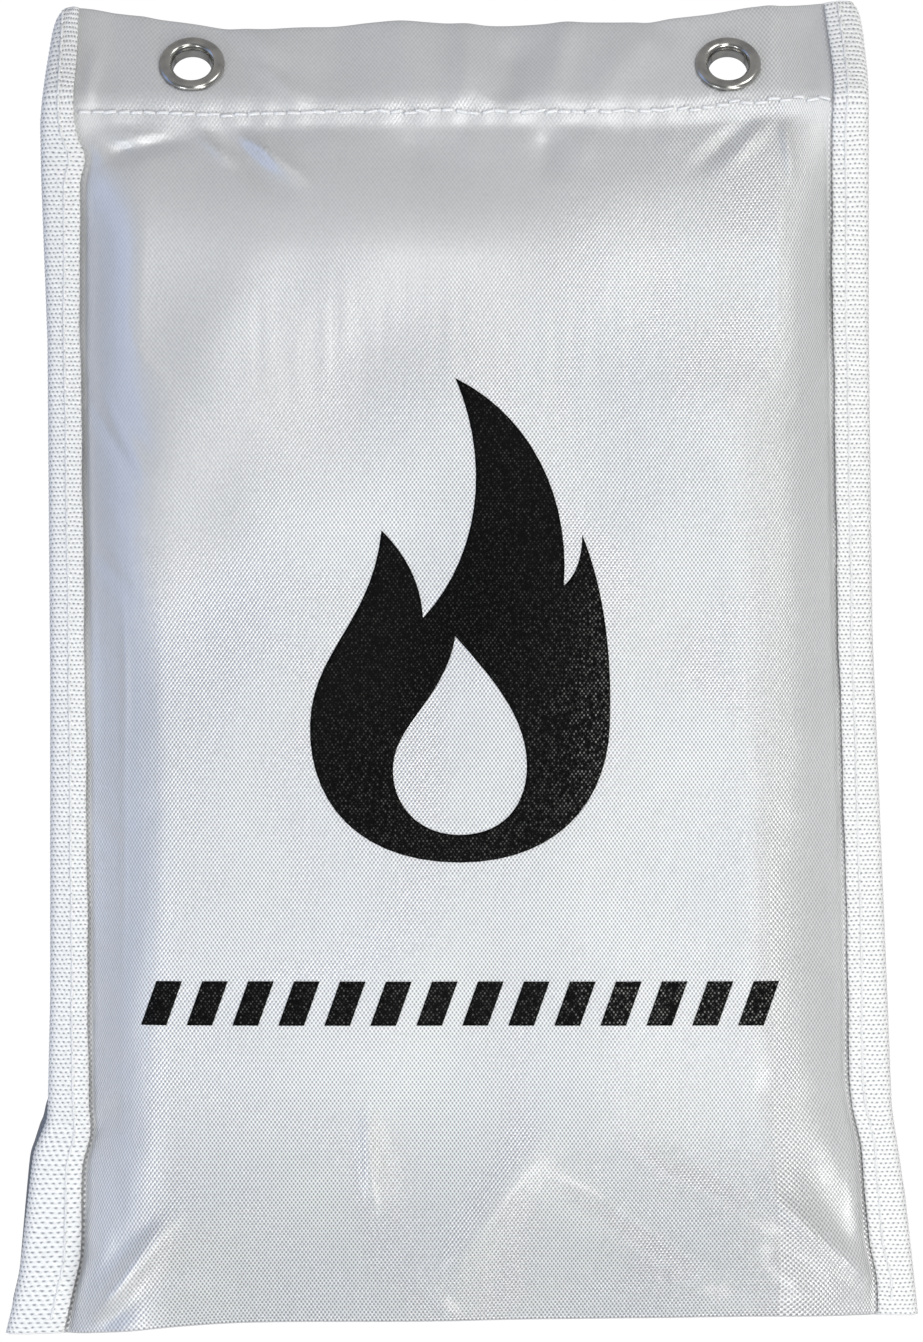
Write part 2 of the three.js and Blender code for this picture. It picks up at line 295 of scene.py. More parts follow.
@dataclass(frozen=True)
class CoatedCloth:
    """Silvery white woven cloth with a smooth coating, whose weave shows through; its light and dark weave
    dots are painted sparkle.
    """

    name: str = "coated_cloth"
    colour: Colour = (0.93, 0.93, 0.925)
    shade: Colour = (0.40, 0.405, 0.415)
    wide: float = 0.86 * MM
    tall: float = 1.16 * MM
    relief: float = 0.14 * MM
    crumple: float = 0.9 * MM

    def material(self) -> bpy.types.Material:
        """Builds the finish."""
        board = Board(self.name)
        weave, clear = weave_of(board, self.wide, self.tall)
        slub = board.noise(1500.0, 2.0)
        cloud = board.noise(16.0, 3.0).smooth(0.3, 0.75)
        soft = board.noise(45.0, 3.0)
        crumple = board.bump(soft, self.crumple, 0.35)
        relief = board.bump(weave * clear * 0.8 + slub * 0.22, self.relief, 1.0, crumple)
        # Painted sparkle and highlight: weave dots and a lighter tone where the glare falls; slub and cloud
        # are the cloth's own tone.
        fleck_and_sparkle = weave * clear * 0.95 + clear * 0.22 + slub * 0.24 + cloud * 0.10 + 0.32
        colour = board.mix(fleck_and_sparkle, self.shade, self.colour)
        rough = 0.40 - cloud * 0.08 + slub * 0.06
        return board.dress(
            Base_Color=colour, Roughness=rough, Normal=relief, Metallic=0.40,
            Coat_Weight=0.28, Coat_Roughness=0.2, Sheen_Weight=0.08, Sheen_Roughness=0.4,
        )


@dataclass(frozen=True)
class PrintInk:
    """Black ink on the cloth's weave, with light specks in its hollows that are partly worn ink and partly
    painted sparkle.
    """

    name: str = "print_ink"
    colour: Colour = (0.002, 0.002, 0.002)
    worn: Colour = (0.32, 0.32, 0.30)
    wide: float = 0.86 * MM
    tall: float = 1.16 * MM
    relief: float = 0.085 * MM

    def material(self) -> bpy.types.Material:
        """Builds the finish."""
        board = Board(self.name)
        weave, clear = weave_of(board, self.wide, self.tall)
        speck = board.noise(1400.0, 2.0).smooth(0.40, 0.72)
        # Worn ink and painted sparkle: light specks in the weave's hollows, more where the glare falls.
        gap = (0.0 - weave).smooth(0.0, 0.8) * speck * clear
        colour = board.mix(gap, self.colour, self.worn)
        relief = board.bump(weave * clear * 0.5 + speck * 0.2, self.relief, 1.0)
        return board.dress(Base_Color=colour, Roughness=0.50, Normal=relief, Specular_IOR_Level=0.05)


@dataclass(frozen=True)
class RibbedTape:
    """White woven tape whose ribs are rows of small beads."""

    name: str = "binding_tape"
    colour: Colour = (0.90, 0.90, 0.89)
    shade: Colour = (0.16, 0.18, 0.21)
    rib: float = 0.95 * MM
    yarn: float = 0.92 * MM
    relief: float = 0.32 * MM

    def material(self) -> bpy.types.Material:
        """Builds the finish."""
        board = Board(self.name)
        across, along = board.flat()
        wobble = board.noise(300.0, 2.0)
        rib = along.wave(self.rib, wobble * 3.5) * 0.5 + 0.5
        bead = across.wave(self.yarn, wobble * 4.0) * along.wave(self.rib * 2, wobble * 1.75) * 0.5 + 0.5
        fluff = board.noise(3000.0, 3.0)
        height = rib * 0.46 + bead * 0.44 + fluff * 0.26
        colour = board.mix(height.smooth(0.08, 0.55), self.shade, self.colour)
        relief = board.bump(height, self.relief, 1.0)
        return board.dress(
            Base_Color=colour, Roughness=0.72, Normal=relief, Sheen_Weight=0.3, Sheen_Roughness=0.5
        )


@dataclass(frozen=True)
class Nickel:
    """Bright nickel plate with fine handling marks, coloured darker as painted shade for its dim
    reflections.
    """

    name: str = "nickel"
    # Painted shade: darker than real bright nickel, for the dim reflections of the surroundings.
    colour: Colour = (0.46, 0.45, 0.42)
    dull: Colour = (0.30, 0.295, 0.28)

    def material(self) -> bpy.types.Material:
        """Builds the finish."""
        board = Board(self.name)
        cloud = board.noise(260.0, 4.0)
        scratch = board.noise(1800.0, 2.0, (1.0, 6.0, 0.3))
        colour = board.mix(cloud.smooth(0.35, 0.75), self.colour, self.dull)
        rough = 0.13 + cloud * 0.10 + scratch.smooth(0.55, 0.8) * 0.08
        relief = board.bump(scratch * 0.6 + cloud * 0.4, 0.012 * MM, 0.8)
        return board.dress(Base_Color=colour, Roughness=rough, Normal=relief, Metallic=1.0)


@dataclass(frozen=True)
class Thread:
    """Twisted polyester sewing thread."""

    name: str = "sewing_thread"
    colour: Colour = (0.97, 0.97, 0.96)
    shade: Colour = (0.74, 0.75, 0.77)
    twist: float = 0.32 * MM

    def material(self) -> bpy.types.Material:
        """Builds the finish."""
        board = Board(self.name)
        around, along = board.flat()
        ply = (along * (2 * math.pi / self.twist) + around * (2 * math.pi)).sine() * 0.5 + 0.5
        fluff = board.noise(5000.0, 2.0)
        colour = board.mix(ply * 0.8 + fluff * 0.2, self.shade, self.colour)
        relief = board.bump(ply * 0.8 + fluff * 0.2, 0.05 * MM, 1.0)
        return board.dress(Base_Color=colour, Roughness=0.5, Normal=relief, Sheen_Weight=0.2)


@dataclass(frozen=True)
class GlassFibre:
    """Off-white woven glass-fibre cloth."""

    name: str = "glass_fibre"
    colour: Colour = (0.83, 0.81, 0.74)
    shade: Colour = (0.60, 0.58, 0.52)
    pitch: float = 1.3 * MM
    relief: float = 0.16 * MM

    def material(self) -> bpy.types.Material:
        """Builds the finish."""
        board = Board(self.name)
        across, along = board.flat()
        weave = across.wave(self.pitch) * along.wave(self.pitch) * 0.5 + 0.5
        strand = across.wave(self.pitch * 0.25) * 0.5 + 0.5
        cloud = board.noise(30.0, 3.0)
        fibre = board.noise(2500.0, 3.0)
        height = weave * 0.75 + strand * 0.15 + fibre * 0.25
        colour = board.mix(height.smooth(0.15, 0.85) * 0.75 + cloud * 0.25, self.shade, self.colour)
        relief = board.bump(height, self.relief, 1.0, board.bump(cloud, 1.2 * MM, 0.3))
        return board.dress(
            Base_Color=colour, Roughness=0.55, Normal=relief, Sheen_Weight=0.25, Sheen_Roughness=0.4
        )


@dataclass(frozen=True)
class Webbing:
    """Dark woven webbing with a herringbone weave."""

    name: str = "webbing"
    colour: Colour = (0.060, 0.072, 0.095)
    shade: Colour = (0.018, 0.022, 0.030)
    pitch: float = 1.6 * MM
    relief: float = 0.2 * MM

    def material(self) -> bpy.types.Material:
        """Builds the finish."""
        board = Board(self.name)
        across, along = board.flat()
        chevron = abs(across.wave(self.pitch * 4)) * 2.4
        weave = along.wave(self.pitch, chevron * 2.0) * 0.5 + 0.5
        fluff = board.noise(3200.0, 3.0)
        height = weave * 0.8 + fluff * 0.3
        colour = board.mix(height.smooth(0.1, 0.9), self.shade, self.colour)
        relief = board.bump(height, self.relief, 1.0)
        return board.dress(Base_Color=colour, Roughness=0.7, Normal=relief, Sheen_Weight=0.3)


@dataclass(frozen=True)
class GripFabric:
    """Dark knitted fabric of a hook or loop patch."""

    name: str
    colour: Colour
    pile: float
    rough: float

    def material(self) -> bpy.types.Material:
        """Builds the finish."""
        board = Board(self.name)
        tuft = board.noise(self.pile, 4.0)
        cloud = board.noise(160.0, 2.0)
        dark = tuple(0.35 * channel for channel in self.colour)
        colour = board.mix(tuft.smooth(0.3, 0.75) * 0.8 + cloud * 0.2, dark, self.colour)
        relief = board.bump(tuft, 0.35 * MM, 1.0)
        return board.dress(Base_Color=colour, Roughness=self.rough, Normal=relief, Sheen_Weight=0.4)


@dataclass(frozen=True)
class Finishes:
    """One material for each of the object's finishes."""

    cloth: bpy.types.Material
    reverse: bpy.types.Material
    ink: bpy.types.Material
    tape: bpy.types.Material
    nickel: bpy.types.Material
    thread: bpy.types.Material
    dark_thread: bpy.types.Material
    glass: bpy.types.Material
    webbing: bpy.types.Material
    hooks: bpy.types.Material
    loops: bpy.types.Material

    @classmethod
    def made(cls) -> "Finishes":
        """Builds every finish once."""
        black: Colour = (0.030, 0.034, 0.042)
        return cls(
            cloth=CoatedCloth().material(),
            # A darker copy of the coated cloth, for the painted shade of the strip past the left tape.
            reverse=CoatedCloth("cloth_reverse", (0.26, 0.28, 0.31), (0.16, 0.17, 0.19)).material(),
            ink=PrintInk().material(),
            tape=RibbedTape().material(),
            nickel=Nickel().material(),
            thread=Thread().material(),
            dark_thread=Thread("dark_thread", (0.05, 0.055, 0.07), (0.015, 0.017, 0.022)).material(),
            glass=GlassFibre().material(),
            webbing=Webbing().material(),
            hooks=GripFabric("hook_fabric", black, 900.0, 0.45).material(),
            loops=GripFabric("loop_fabric", black, 420.0, 0.9).material(),
        )


# --------------------------------------------------------------------------------------------- geometry


def smoothstep(value: np.ndarray, low: float, high: float) -> np.ndarray:
    """A smooth rise from 0 at low to 1 at high."""
    share = np.clip((value - low) / (high - low), 0.0, 1.0)
    return share * share * (3 - 2 * share)


def eased(points: list[tuple[float, float]], reach: float) -> Curve:
    """A curve through a few points, with its corners rounded.

    Args:
        points: (place, value) pairs in rising order of place.
        reach: How far a corner's rounding reaches, in the unit of place.

    Returns:
        A function of place.
    """
    places, values = np.array(points, float).T
    grid = np.linspace(places[0] - 4 * reach, places[-1] + 4 * reach, 1200)
    spread = (np.arange(-200, 201) * (grid[1] - grid[0])) / reach
    kernel = np.exp(-0.5 * spread**2)
    padded = np.pad(np.interp(grid, places, values), 200, mode="edge")
    rounded = np.convolve(padded, kernel / kernel.sum(), mode="valid")
    return lambda place: np.interp(place, grid, rounded)


def grid_faces(rows: int, columns: int, closed: bool = False) -> list[tuple[int, int, int, int]]:
    """The quads of a grid of points, row by row; closed joins each row's ends."""
    wide = columns if closed else columns - 1
    found = []
    for here in range(0, (rows - 1) * columns, columns):
        above = here + columns
        for first in range(wide):
            last = (first + 1) % columns
            found.append((here + first, here + last, above + last, above + first))
    return found


@dataclass
class Piece:
    """A mesh being made: points in the row frame's metres, faces, and each point's place on its material."""

    name: str
    points: np.ndarray
    faces: list[tuple[int, ...]]
    places: np.ndarray

    def made(self, *materials: bpy.types.Material) -> bpy.types.Object:
        """Turns the piece into a smooth-shaded object.

        Args:
            materials: The materials for its slots.

        Returns:
            The object, in the scene's collection.
        """
        used = np.unique([corner for face in self.faces for corner in face])
        renumber = np.full(len(self.points), -1)
        renumber[used] = np.arange(len(used))
        mesh = bpy.data.meshes.new(self.name)
        faces = [tuple(int(renumber[corner]) for corner in face) for face in self.faces]
        mesh.from_pydata(self.points[used].tolist(), [], faces)
        mesh.validate()
        layer = mesh.uv_layers.new(name=WEAVE_MAP)
        corners = np.zeros(len(mesh.loops), np.int32)
        mesh.loops.foreach_get("vertex_index", corners)
        layer.data.foreach_set("uv", self.places[used][corners].astype(np.float32).ravel())
        mesh.polygons.foreach_set("use_smooth", [True] * len(mesh.polygons))
        for material in materials:
            mesh.materials.append(material)
        obj = bpy.data.objects.new(self.name, mesh)
        bpy.context.scene.collection.objects.link(obj)
        return obj


def settled(obj: bpy.types.Object) -> bpy.types.Object:
    """Applies an object's modifiers to its mesh."""
    graph = bpy.context.evaluated_depsgraph_get()
    made = obj.evaluated_get(graph)
    mesh = bpy.data.meshes.new_from_object(made, preserve_all_data_layers=True, depsgraph=graph)
    obj.modifiers.clear()
    obj.data = mesh
    return obj


def thickened(obj: bpy.types.Object, thickness: float, offset: float = 0.0) -> bpy.types.Object:
    """Gives a sheet its thickness, in millimetres, as real mesh."""
    solid = obj.modifiers.new("Thickness", "SOLIDIFY")
    solid.thickness = thickness * MM
    solid.offset = offset
    solid.use_even_offset = False
    return settled(obj)


def points_of(obj: bpy.types.Object) -> np.ndarray:
    """The object's vertices as an array."""
    found = np.zeros(len(obj.data.vertices) * 3, np.float32)
    obj.data.vertices.foreach_get("co", found)
    return found.reshape(-1, 3).astype(float)


def finish_piece(obj: bpy.types.Object, body: Body, slot: str, *nodes: str) -> bpy.types.Object:
    """Rides a piece on its body and hides the solids that it stands for."""
    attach(obj, body.value)
    if nodes:
        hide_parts(*nodes)
    LOG.info("%s: %d points on %s", obj.name, len(obj.data.vertices), body.value)
    return obj


def frames_along(path: np.ndarray, lean: np.ndarray) -> tuple[np.ndarray, np.ndarray]:
    """Two directions across a path at each of its points.

    Args:
        path: Points in order.
        lean: A rough direction away from the surface at each point.

    Returns:
        The direction nearest to lean, and the one square to it and the path.
    """
    tangent = np.gradient(path, axis=0)
    tangent /= np.linalg.norm(tangent, axis=1, keepdims=True) + 1e-12
    up = lean - (lean * tangent).sum(1, keepdims=True) * tangent
    up /= np.linalg.norm(up, axis=1, keepdims=True) + 1e-12
    return up, np.cross(tangent, up)


def stitch_dip(count: int, depth: float) -> np.ndarray:
    """How far a stitch sinks into the cloth at points along it, most at its ends."""
    return depth * (1 - np.sin(np.linspace(0, np.pi, count)) ** 0.5)


@dataclass
class Bundle:
    """Many small tubes gathered into one mesh, such as a row of stitches."""

    name: str
    sides: int = 7
    points: list[np.ndarray] = field(default_factory=list)
    places: list[np.ndarray] = field(default_factory=list)
    faces: list[tuple[int, ...]] = field(default_factory=list)

    def add(self, path: np.ndarray, radius: np.ndarray | float, lean: np.ndarray) -> None:
        """Adds a tube with rounded-off ends.

        Args:
            path: Its middle line, in millimetres.
            radius: Its radius, one for all or one for each point.
            lean: A rough direction away from the surface at each point.
        """
        start = sum(len(part) for part in self.points)
        up, side = frames_along(path, lean)
        turn = np.linspace(0, 2 * math.pi, self.sides, endpoint=False)
        wide = np.broadcast_to(np.asarray(radius, float), (len(path),))[:, None, None]
        ring = up[:, None] * np.cos(turn)[None, :, None] + side[:, None] * np.sin(turn)[None, :, None]
        self.points.append((path[:, None] + ring * wide).reshape(-1, 3))
        run = np.concatenate([[0], np.cumsum(np.linalg.norm(np.diff(path, axis=0), axis=1))]) * MM
        around = np.broadcast_to(turn / (2 * math.pi), (len(path), self.sides))
        places = np.stack(np.broadcast_arrays(around, run[:, None]), -1)
        self.places.append(places.reshape(-1, 2))
        self.faces += [tuple(start + i for i in quad) for quad in grid_faces(len(path), self.sides, True)]
        last = start + (len(path) - 1) * self.sides
        self.faces.append(tuple(start + i for i in reversed(range(self.sides))))
        self.faces.append(tuple(last + i for i in range(self.sides)))

    def made(self, form: "PouchForm", material: bpy.types.Material) -> bpy.types.Object:
        """Turns the bundle into one object."""
        points = form.row(np.concatenate(self.points))
        return Piece(self.name, points, self.faces, np.concatenate(self.places)).made(material)


@dataclass(frozen=True)
class Crease:
    """A soft ridge or hollow in the front cloth, in millimetres."""

    start: tuple[float, float]
    end: tuple[float, float]
    height: float
    width: float
    skew: float = 0.0

    def rise(self, x: np.ndarray, along: np.ndarray) -> np.ndarray:
        """How far it lifts the cloth at a place.

        Args:
            x: Places across the pouch.
            along: Places along the pouch.

        Returns:
            The lift, below zero in a hollow.
        """
        first, last = np.array(self.start), np.array(self.end)
        run = last - first
        length = float(np.hypot(*run))
        share = ((x - first[0]) * run[0] + (along - first[1]) * run[1]) / length**2
        aside = ((x - first[0]) * run[1] - (along - first[1]) * run[0]) / length / self.width
        ends = smoothstep(share, -0.15, 0.25) * (1 - smoothstep(share, 0.55, 1.25))
        return self.height * ends * np.exp(-(aside**2)) * (1 + self.skew * aside)


@dataclass(frozen=True)
class PouchForm:
    """The pouch's shape: a seam plane that leans back at the header, and each panel's stand-off from it."""

    front_face: float = 13.0
    front_layer: float = 0.8
    back_face: float = 13.15
    flat_half: float = 69.6
    margin: float = 1.0
    binding_half: float = 1.35
    binding_thickness: float = 0.9
    back_lip: float = 8.0
    seam: float = 264.0
    bulge_top: float = 260.5
    shoulder: float = 30.0
    bend_start: float = 1.0
    bend_radius: float = 6.0
    tilt: float = math.radians(32)
    header_top: float = 286.05
    eyelet_half: float = 59.0
    cloth: float = 0.42
    filled: float = 10.7
    filled_half: float = 71.3
    filled_top: float = 245.0
    side_taper: float = 0.12
    side_taper_reach: float = 13.0
    top_taper: float = 0.28
    top_taper_reach: float = 16.0
    left_edge: Curve = eased(
        [(0, 99.4), (12, 96.3), (36, 93.2), (43, 90.2), (70, 89.6), (140, 89.6), (214, 90.2), (250, 91.6),
         (262, 91.8), (272, 90.9), (281, 89.7), (284.2, 88.7), (286.6, 85.6), (289, 84.5)], 0.9)
    right_edge: Curve = eased(
        [(0, 100.2), (26, 97.4), (46, 94.4), (72, 93.4), (150, 90.2), (214, 89.4), (270, 89.4), (280, 88.7),
         (284, 87.9), (286.6, 85.6), (289, 84.5)], 0.9)
    left_inner: Curve = eased(
        [(0, 87.0), (8, 85.2), (15, 83.2), (34, 82.8), (40, 80.9), (46, 81.4), (70, 81.6), (140, 82.2),
         (214, 83.3), (249, 83.4), (254, 81.6), (258, 84.0), (264, 84.8), (289, 84.3)], 1.6)
    right_inner: Curve = eased(
        [(0, 91.7), (8, 91.6), (16, 89.6), (38, 88.0), (46, 86.0), (52, 85.2), (72, 85.3), (150, 83.0),
         (220, 81.8), (258, 81.6), (267, 82.4), (289, 80.2)], 1.6)
    header_creases: tuple[Crease, ...] = (
        Crease((-80.5, 277.0), (-82.0, 264.0), 0.7, 1.3),
        Crease((-77.0, 288.0), (-76.0, 266.0), -0.5, 3.0),
        Crease((-70.0, 288.0), (-66.0, 265.0), 0.8, 2.4),
        Crease((-50.0, 288.0), (-40.0, 277.0), 1.1, 3.5, 0.4),
        Crease((-46.0, 276.5), (-34.0, 266.0), 0.6, 1.8),
        Crease((-28.0, 288.0), (-27.0, 266.0), -0.9, 6.0),
        Crease((-14.0, 288.0), (-9.0, 266.0), 0.6, 4.0),
        Crease((1.0, 288.0), (1.0, 264.5), 1.0, 3.2, -0.3),
        Crease((11.5, 281.0), (10.0, 262.0), -1.2, 3.8),
        Crease((24.0, 288.0), (19.5, 264.5), 0.8, 3.0),
        Crease((40.0, 288.0), (47.0, 280.0), -0.7, 2.5),
        Crease((43.0, 284.0), (30.0, 268.0), 0.5, 4.0),
        Crease((68.0, 288.0), (68.0, 264.5), 0.8, 1.8, -0.4),
        Crease((75.0, 282.0), (77.0, 266.0), -0.5, 2.0),
    )
    lip_wave: Curve = eased(
        [(-92, -3.8), (-84, -3.5), (-66, -1.3), (-52, -0.4), (-30, 0.1), (24, 0.5), (50, 1.2), (72, 1.2),
         (92, 0.4)], 5.0)
    seam_wave: Curve = eased(
        [(-92, 0.2), (-66, 0.0), (-52, -0.7), (-32, 0.1), (40, 0.4), (52, 0.9), (64, 2.4), (92, 3.3)], 3.0)
    header_wave: Curve = eased(
        [(-92, 5.3), (-84, 5.3), (-78.5, 4.5), (-69, 3.3), (-60, 1.9), (-54, 1.2), (-50, 0.3), (-44, 0.0),
         (-35, 0.3), (-20, 1.2), (4, 1.6), (40, 1.2), (54, 2.6), (67, 4.1), (80, 5.0), (86, 5.0),
         (92, 5.0)], 2.6)

    @cached_property
    def origin(self) -> np.ndarray:
        """Where the row frame's origin lies in the pouch's frame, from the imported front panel's box."""
        low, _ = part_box("front_panel")
        return np.array([0.0, -self.front_face - low.y / MM, -low.z / MM])

    def box(self, node: str) -> tuple[np.ndarray, np.ndarray]:
        """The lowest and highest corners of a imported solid, in the pouch's frame."""
        low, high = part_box(node)
        return np.array(low) / MM + self.origin, np.array(high) / MM + self.origin

    def row(self, points: np.ndarray) -> np.ndarray:
        """Turns the pouch's millimetres into the row frame's metres."""
        return (points - self.origin) * MM

    def edge(self, x: np.ndarray, along: np.ndarray) -> np.ndarray:
        """The side seam's outer edge on the side where x lies."""
        return np.where(x < 0, self.left_edge(along), self.right_edge(along))

    def inner(self, x: np.ndarray, along: np.ndarray) -> np.ndarray:
        """The binding's inner edge on the side where x lies."""
        return np.where(x < 0, self.left_inner(along), self.right_inner(along))

    def lift(self, x: np.ndarray, along: np.ndarray) -> np.ndarray:
        """How far the lip, the header seam and the top fold stray from straight lines."""
        lip = self.lip_wave(x) * (1 - smoothstep(along, 0.0, 42.0))
        seam = self.seam_wave(x) * smoothstep(along, self.seam - 45.0, self.seam)
        top = self.header_wave(x) * smoothstep(along, self.seam, self.header_top + 4.0) * 1.1
        return lip + seam + top

    def sway(self, x: np.ndarray, along: np.ndarray) -> np.ndarray:
        """How far the header's cloth waves behind or before its plane, flat round the eyelets."""
        rise = smoothstep(along, self.seam + 1.0, self.header_top)
        calm = 1 - np.exp(-(((np.abs(x) - self.eyelet_half) / 11.0) ** 2))
        wave = 0.9 * np.sin(x / 11.0 + 0.6) + 0.4 * np.sin(x / 5.3 + along / 9.0)
        folds = sum(crease.rise(x, along) for crease in self.header_creases)
        past = along - self.seam
        pucker = 0.16 * np.sin(x / 1.27 + 1.4 * np.sin(x / 7.3))
        pucker = pucker + 0.12 * np.sin(x / 2.9 + 2 * np.sin(x / 17.0))
        near = np.exp(-np.abs(past) / 2.6) * smoothstep(np.abs(past), 0.0, 1.2)
        groove = 0.16 * np.exp(-((past / 0.9) ** 2))
        sewn = np.abs(x) < math.sqrt(6800)
        return (wave * rise - folds * smoothstep(past, 0.5, 4.0)) * calm + pucker * near + groove * sewn

    def seam_plane(self, x: np.ndarray, along: np.ndarray, behind: np.ndarray) -> np.ndarray:
        """A point beside the seam plane.

        Args:
            x: Its place across.
            along: The length from the lip to it.
            behind: How far it lies behind the plane.

        Returns:
            The point, in the pouch's frame.
        """
        strayed = along + self.lift(x, along)
        past = np.maximum(0.0, strayed - self.seam - self.bend_start)
        turned = np.minimum(self.tilt, past / self.bend_radius)
        straight = np.maximum(0.0, past - self.bend_radius * self.tilt)
        off = behind + self.sway(x, along)
        y = self.bend_radius * (1 - np.cos(turned)) + straight * np.sin(turned) + off * np.cos(turned)
        z = strayed - past + self.bend_radius * np.sin(turned) + straight * np.cos(turned)
        return np.stack([x + 0 * y, y, z - off * np.sin(turned)], -1)

    def across(self, place: np.ndarray, along: np.ndarray) -> np.ndarray:
        """The x of a place across a panel.

        Args:
            place: 0 to 1 on the flat, 1 to 2 on the slope, 2 to 3 under the binding; negative on the left.
            along: The length from the lip.

        Returns:
            The distance from the pouch's middle.
        """
        size = np.abs(place)
        slope_end = self.inner(place, along) - self.margin
        edge = self.edge(place, along) - self.binding_half - self.binding_thickness
        edge = np.maximum(edge, slope_end + 0.5)
        on_slope = np.clip(size - 1, 0, 1)
        on_flange = np.clip(size - 2, 0, 1)
        flat = self.flat_half - 1.1 + 0.7 * np.sin(along / 21.0 + np.sign(place)) + 0.3 * np.sin(along / 8.3)
        x = flat * np.minimum(size, 1) + (slope_end - flat) * on_slope
        return np.sign(place) * (x + (edge - slope_end) * on_flange)

    def bulge(self, place: np.ndarray, along: np.ndarray) -> np.ndarray:
        """The share of its depth that a panel stands out."""
        sideways = np.sin(0.5 * np.pi * np.clip(2 - np.abs(place), 0, 1))
        upward = np.sin(0.5 * np.pi * np.clip((self.bulge_top - along) / self.shoulder, 0, 1))
        return sideways * upward

    def fill(self, x: np.ndarray, z: np.ndarray) -> np.ndarray:
        """How far the folded blanket stands out from the seam plane, less at its sides and its top."""
        near_side = smoothstep(np.abs(x), self.filled_half - self.side_taper_reach, self.filled_half)
        near_top = smoothstep(z, self.filled_top - self.top_taper_reach, self.filled_top)
        sides = 1 - self.side_taper * near_side
        top = 1 - self.top_taper * near_top
        return self.filled * sides * top

    def stack(self, face: Face) -> float:
        """How far the binding's outer face lies from the seam plane."""
        return face.value * (self.binding_half + self.binding_thickness)


@dataclass(frozen=True)
class ClothTrial:
    """A cloth simulation that lets a panel find its own small folds where it isn't held."""

    enlarge: float = 10.0
    frames: int = 18
    slack: float = 0.002
    pressure: float = 1.2
    reach: float = 1.6

    def moved(self, points: np.ndarray, held: np.ndarray) -> np.ndarray:
        """Runs the simulation.

        Args:
            points: The panel's grid of points, in millimetres.
            held: How firmly each point is held, from 0 to 1.

        Returns:
            How far each point moved, in millimetres, capped at the reach.
        """
        rows, columns = held.shape
        flat = points.reshape(-1, 3) * MM * self.enlarge
        mesh = bpy.data.meshes.new("cloth_trial")
        mesh.from_pydata(flat.tolist(), [], grid_faces(rows, columns))
        obj = bpy.data.objects.new("cloth_trial", mesh)
        bpy.context.scene.collection.objects.link(obj)
        group = obj.vertex_groups.new(name="held")
        for index, weight in enumerate(held.ravel()):
            if weight > 0.01:
                group.add([index], float(weight), "REPLACE")
        cloth = obj.modifiers.new("Cloth", "CLOTH")
        settings = cloth.settings
        settings.quality = 6
        settings.mass = 0.15
        settings.tension_stiffness = settings.compression_stiffness = 30
        settings.shear_stiffness = 12
        settings.bending_stiffness = 0.6
        settings.vertex_group_mass = "held"
        settings.shrink_min = -self.slack
        settings.use_pressure = True
        settings.uniform_pressure_force = self.pressure
        settings.effector_weights.gravity = 0
        cloth.collision_settings.use_collision = False
        cloth.point_cache.frame_end = self.frames
        scene = bpy.context.scene
        for frame_number in range(1, self.frames + 1):
            scene.frame_set(frame_number)
        made = settled(obj)
        moved = (points_of(made) - flat) / (MM * self.enlarge)
        scene.frame_set(1)
        bpy.data.objects.remove(obj)
        size = np.linalg.norm(moved, axis=1, keepdims=True)
        moved *= np.tanh(size / self.reach) * self.reach / (size + 1e-9)
        return moved.reshape(rows, columns, 3)


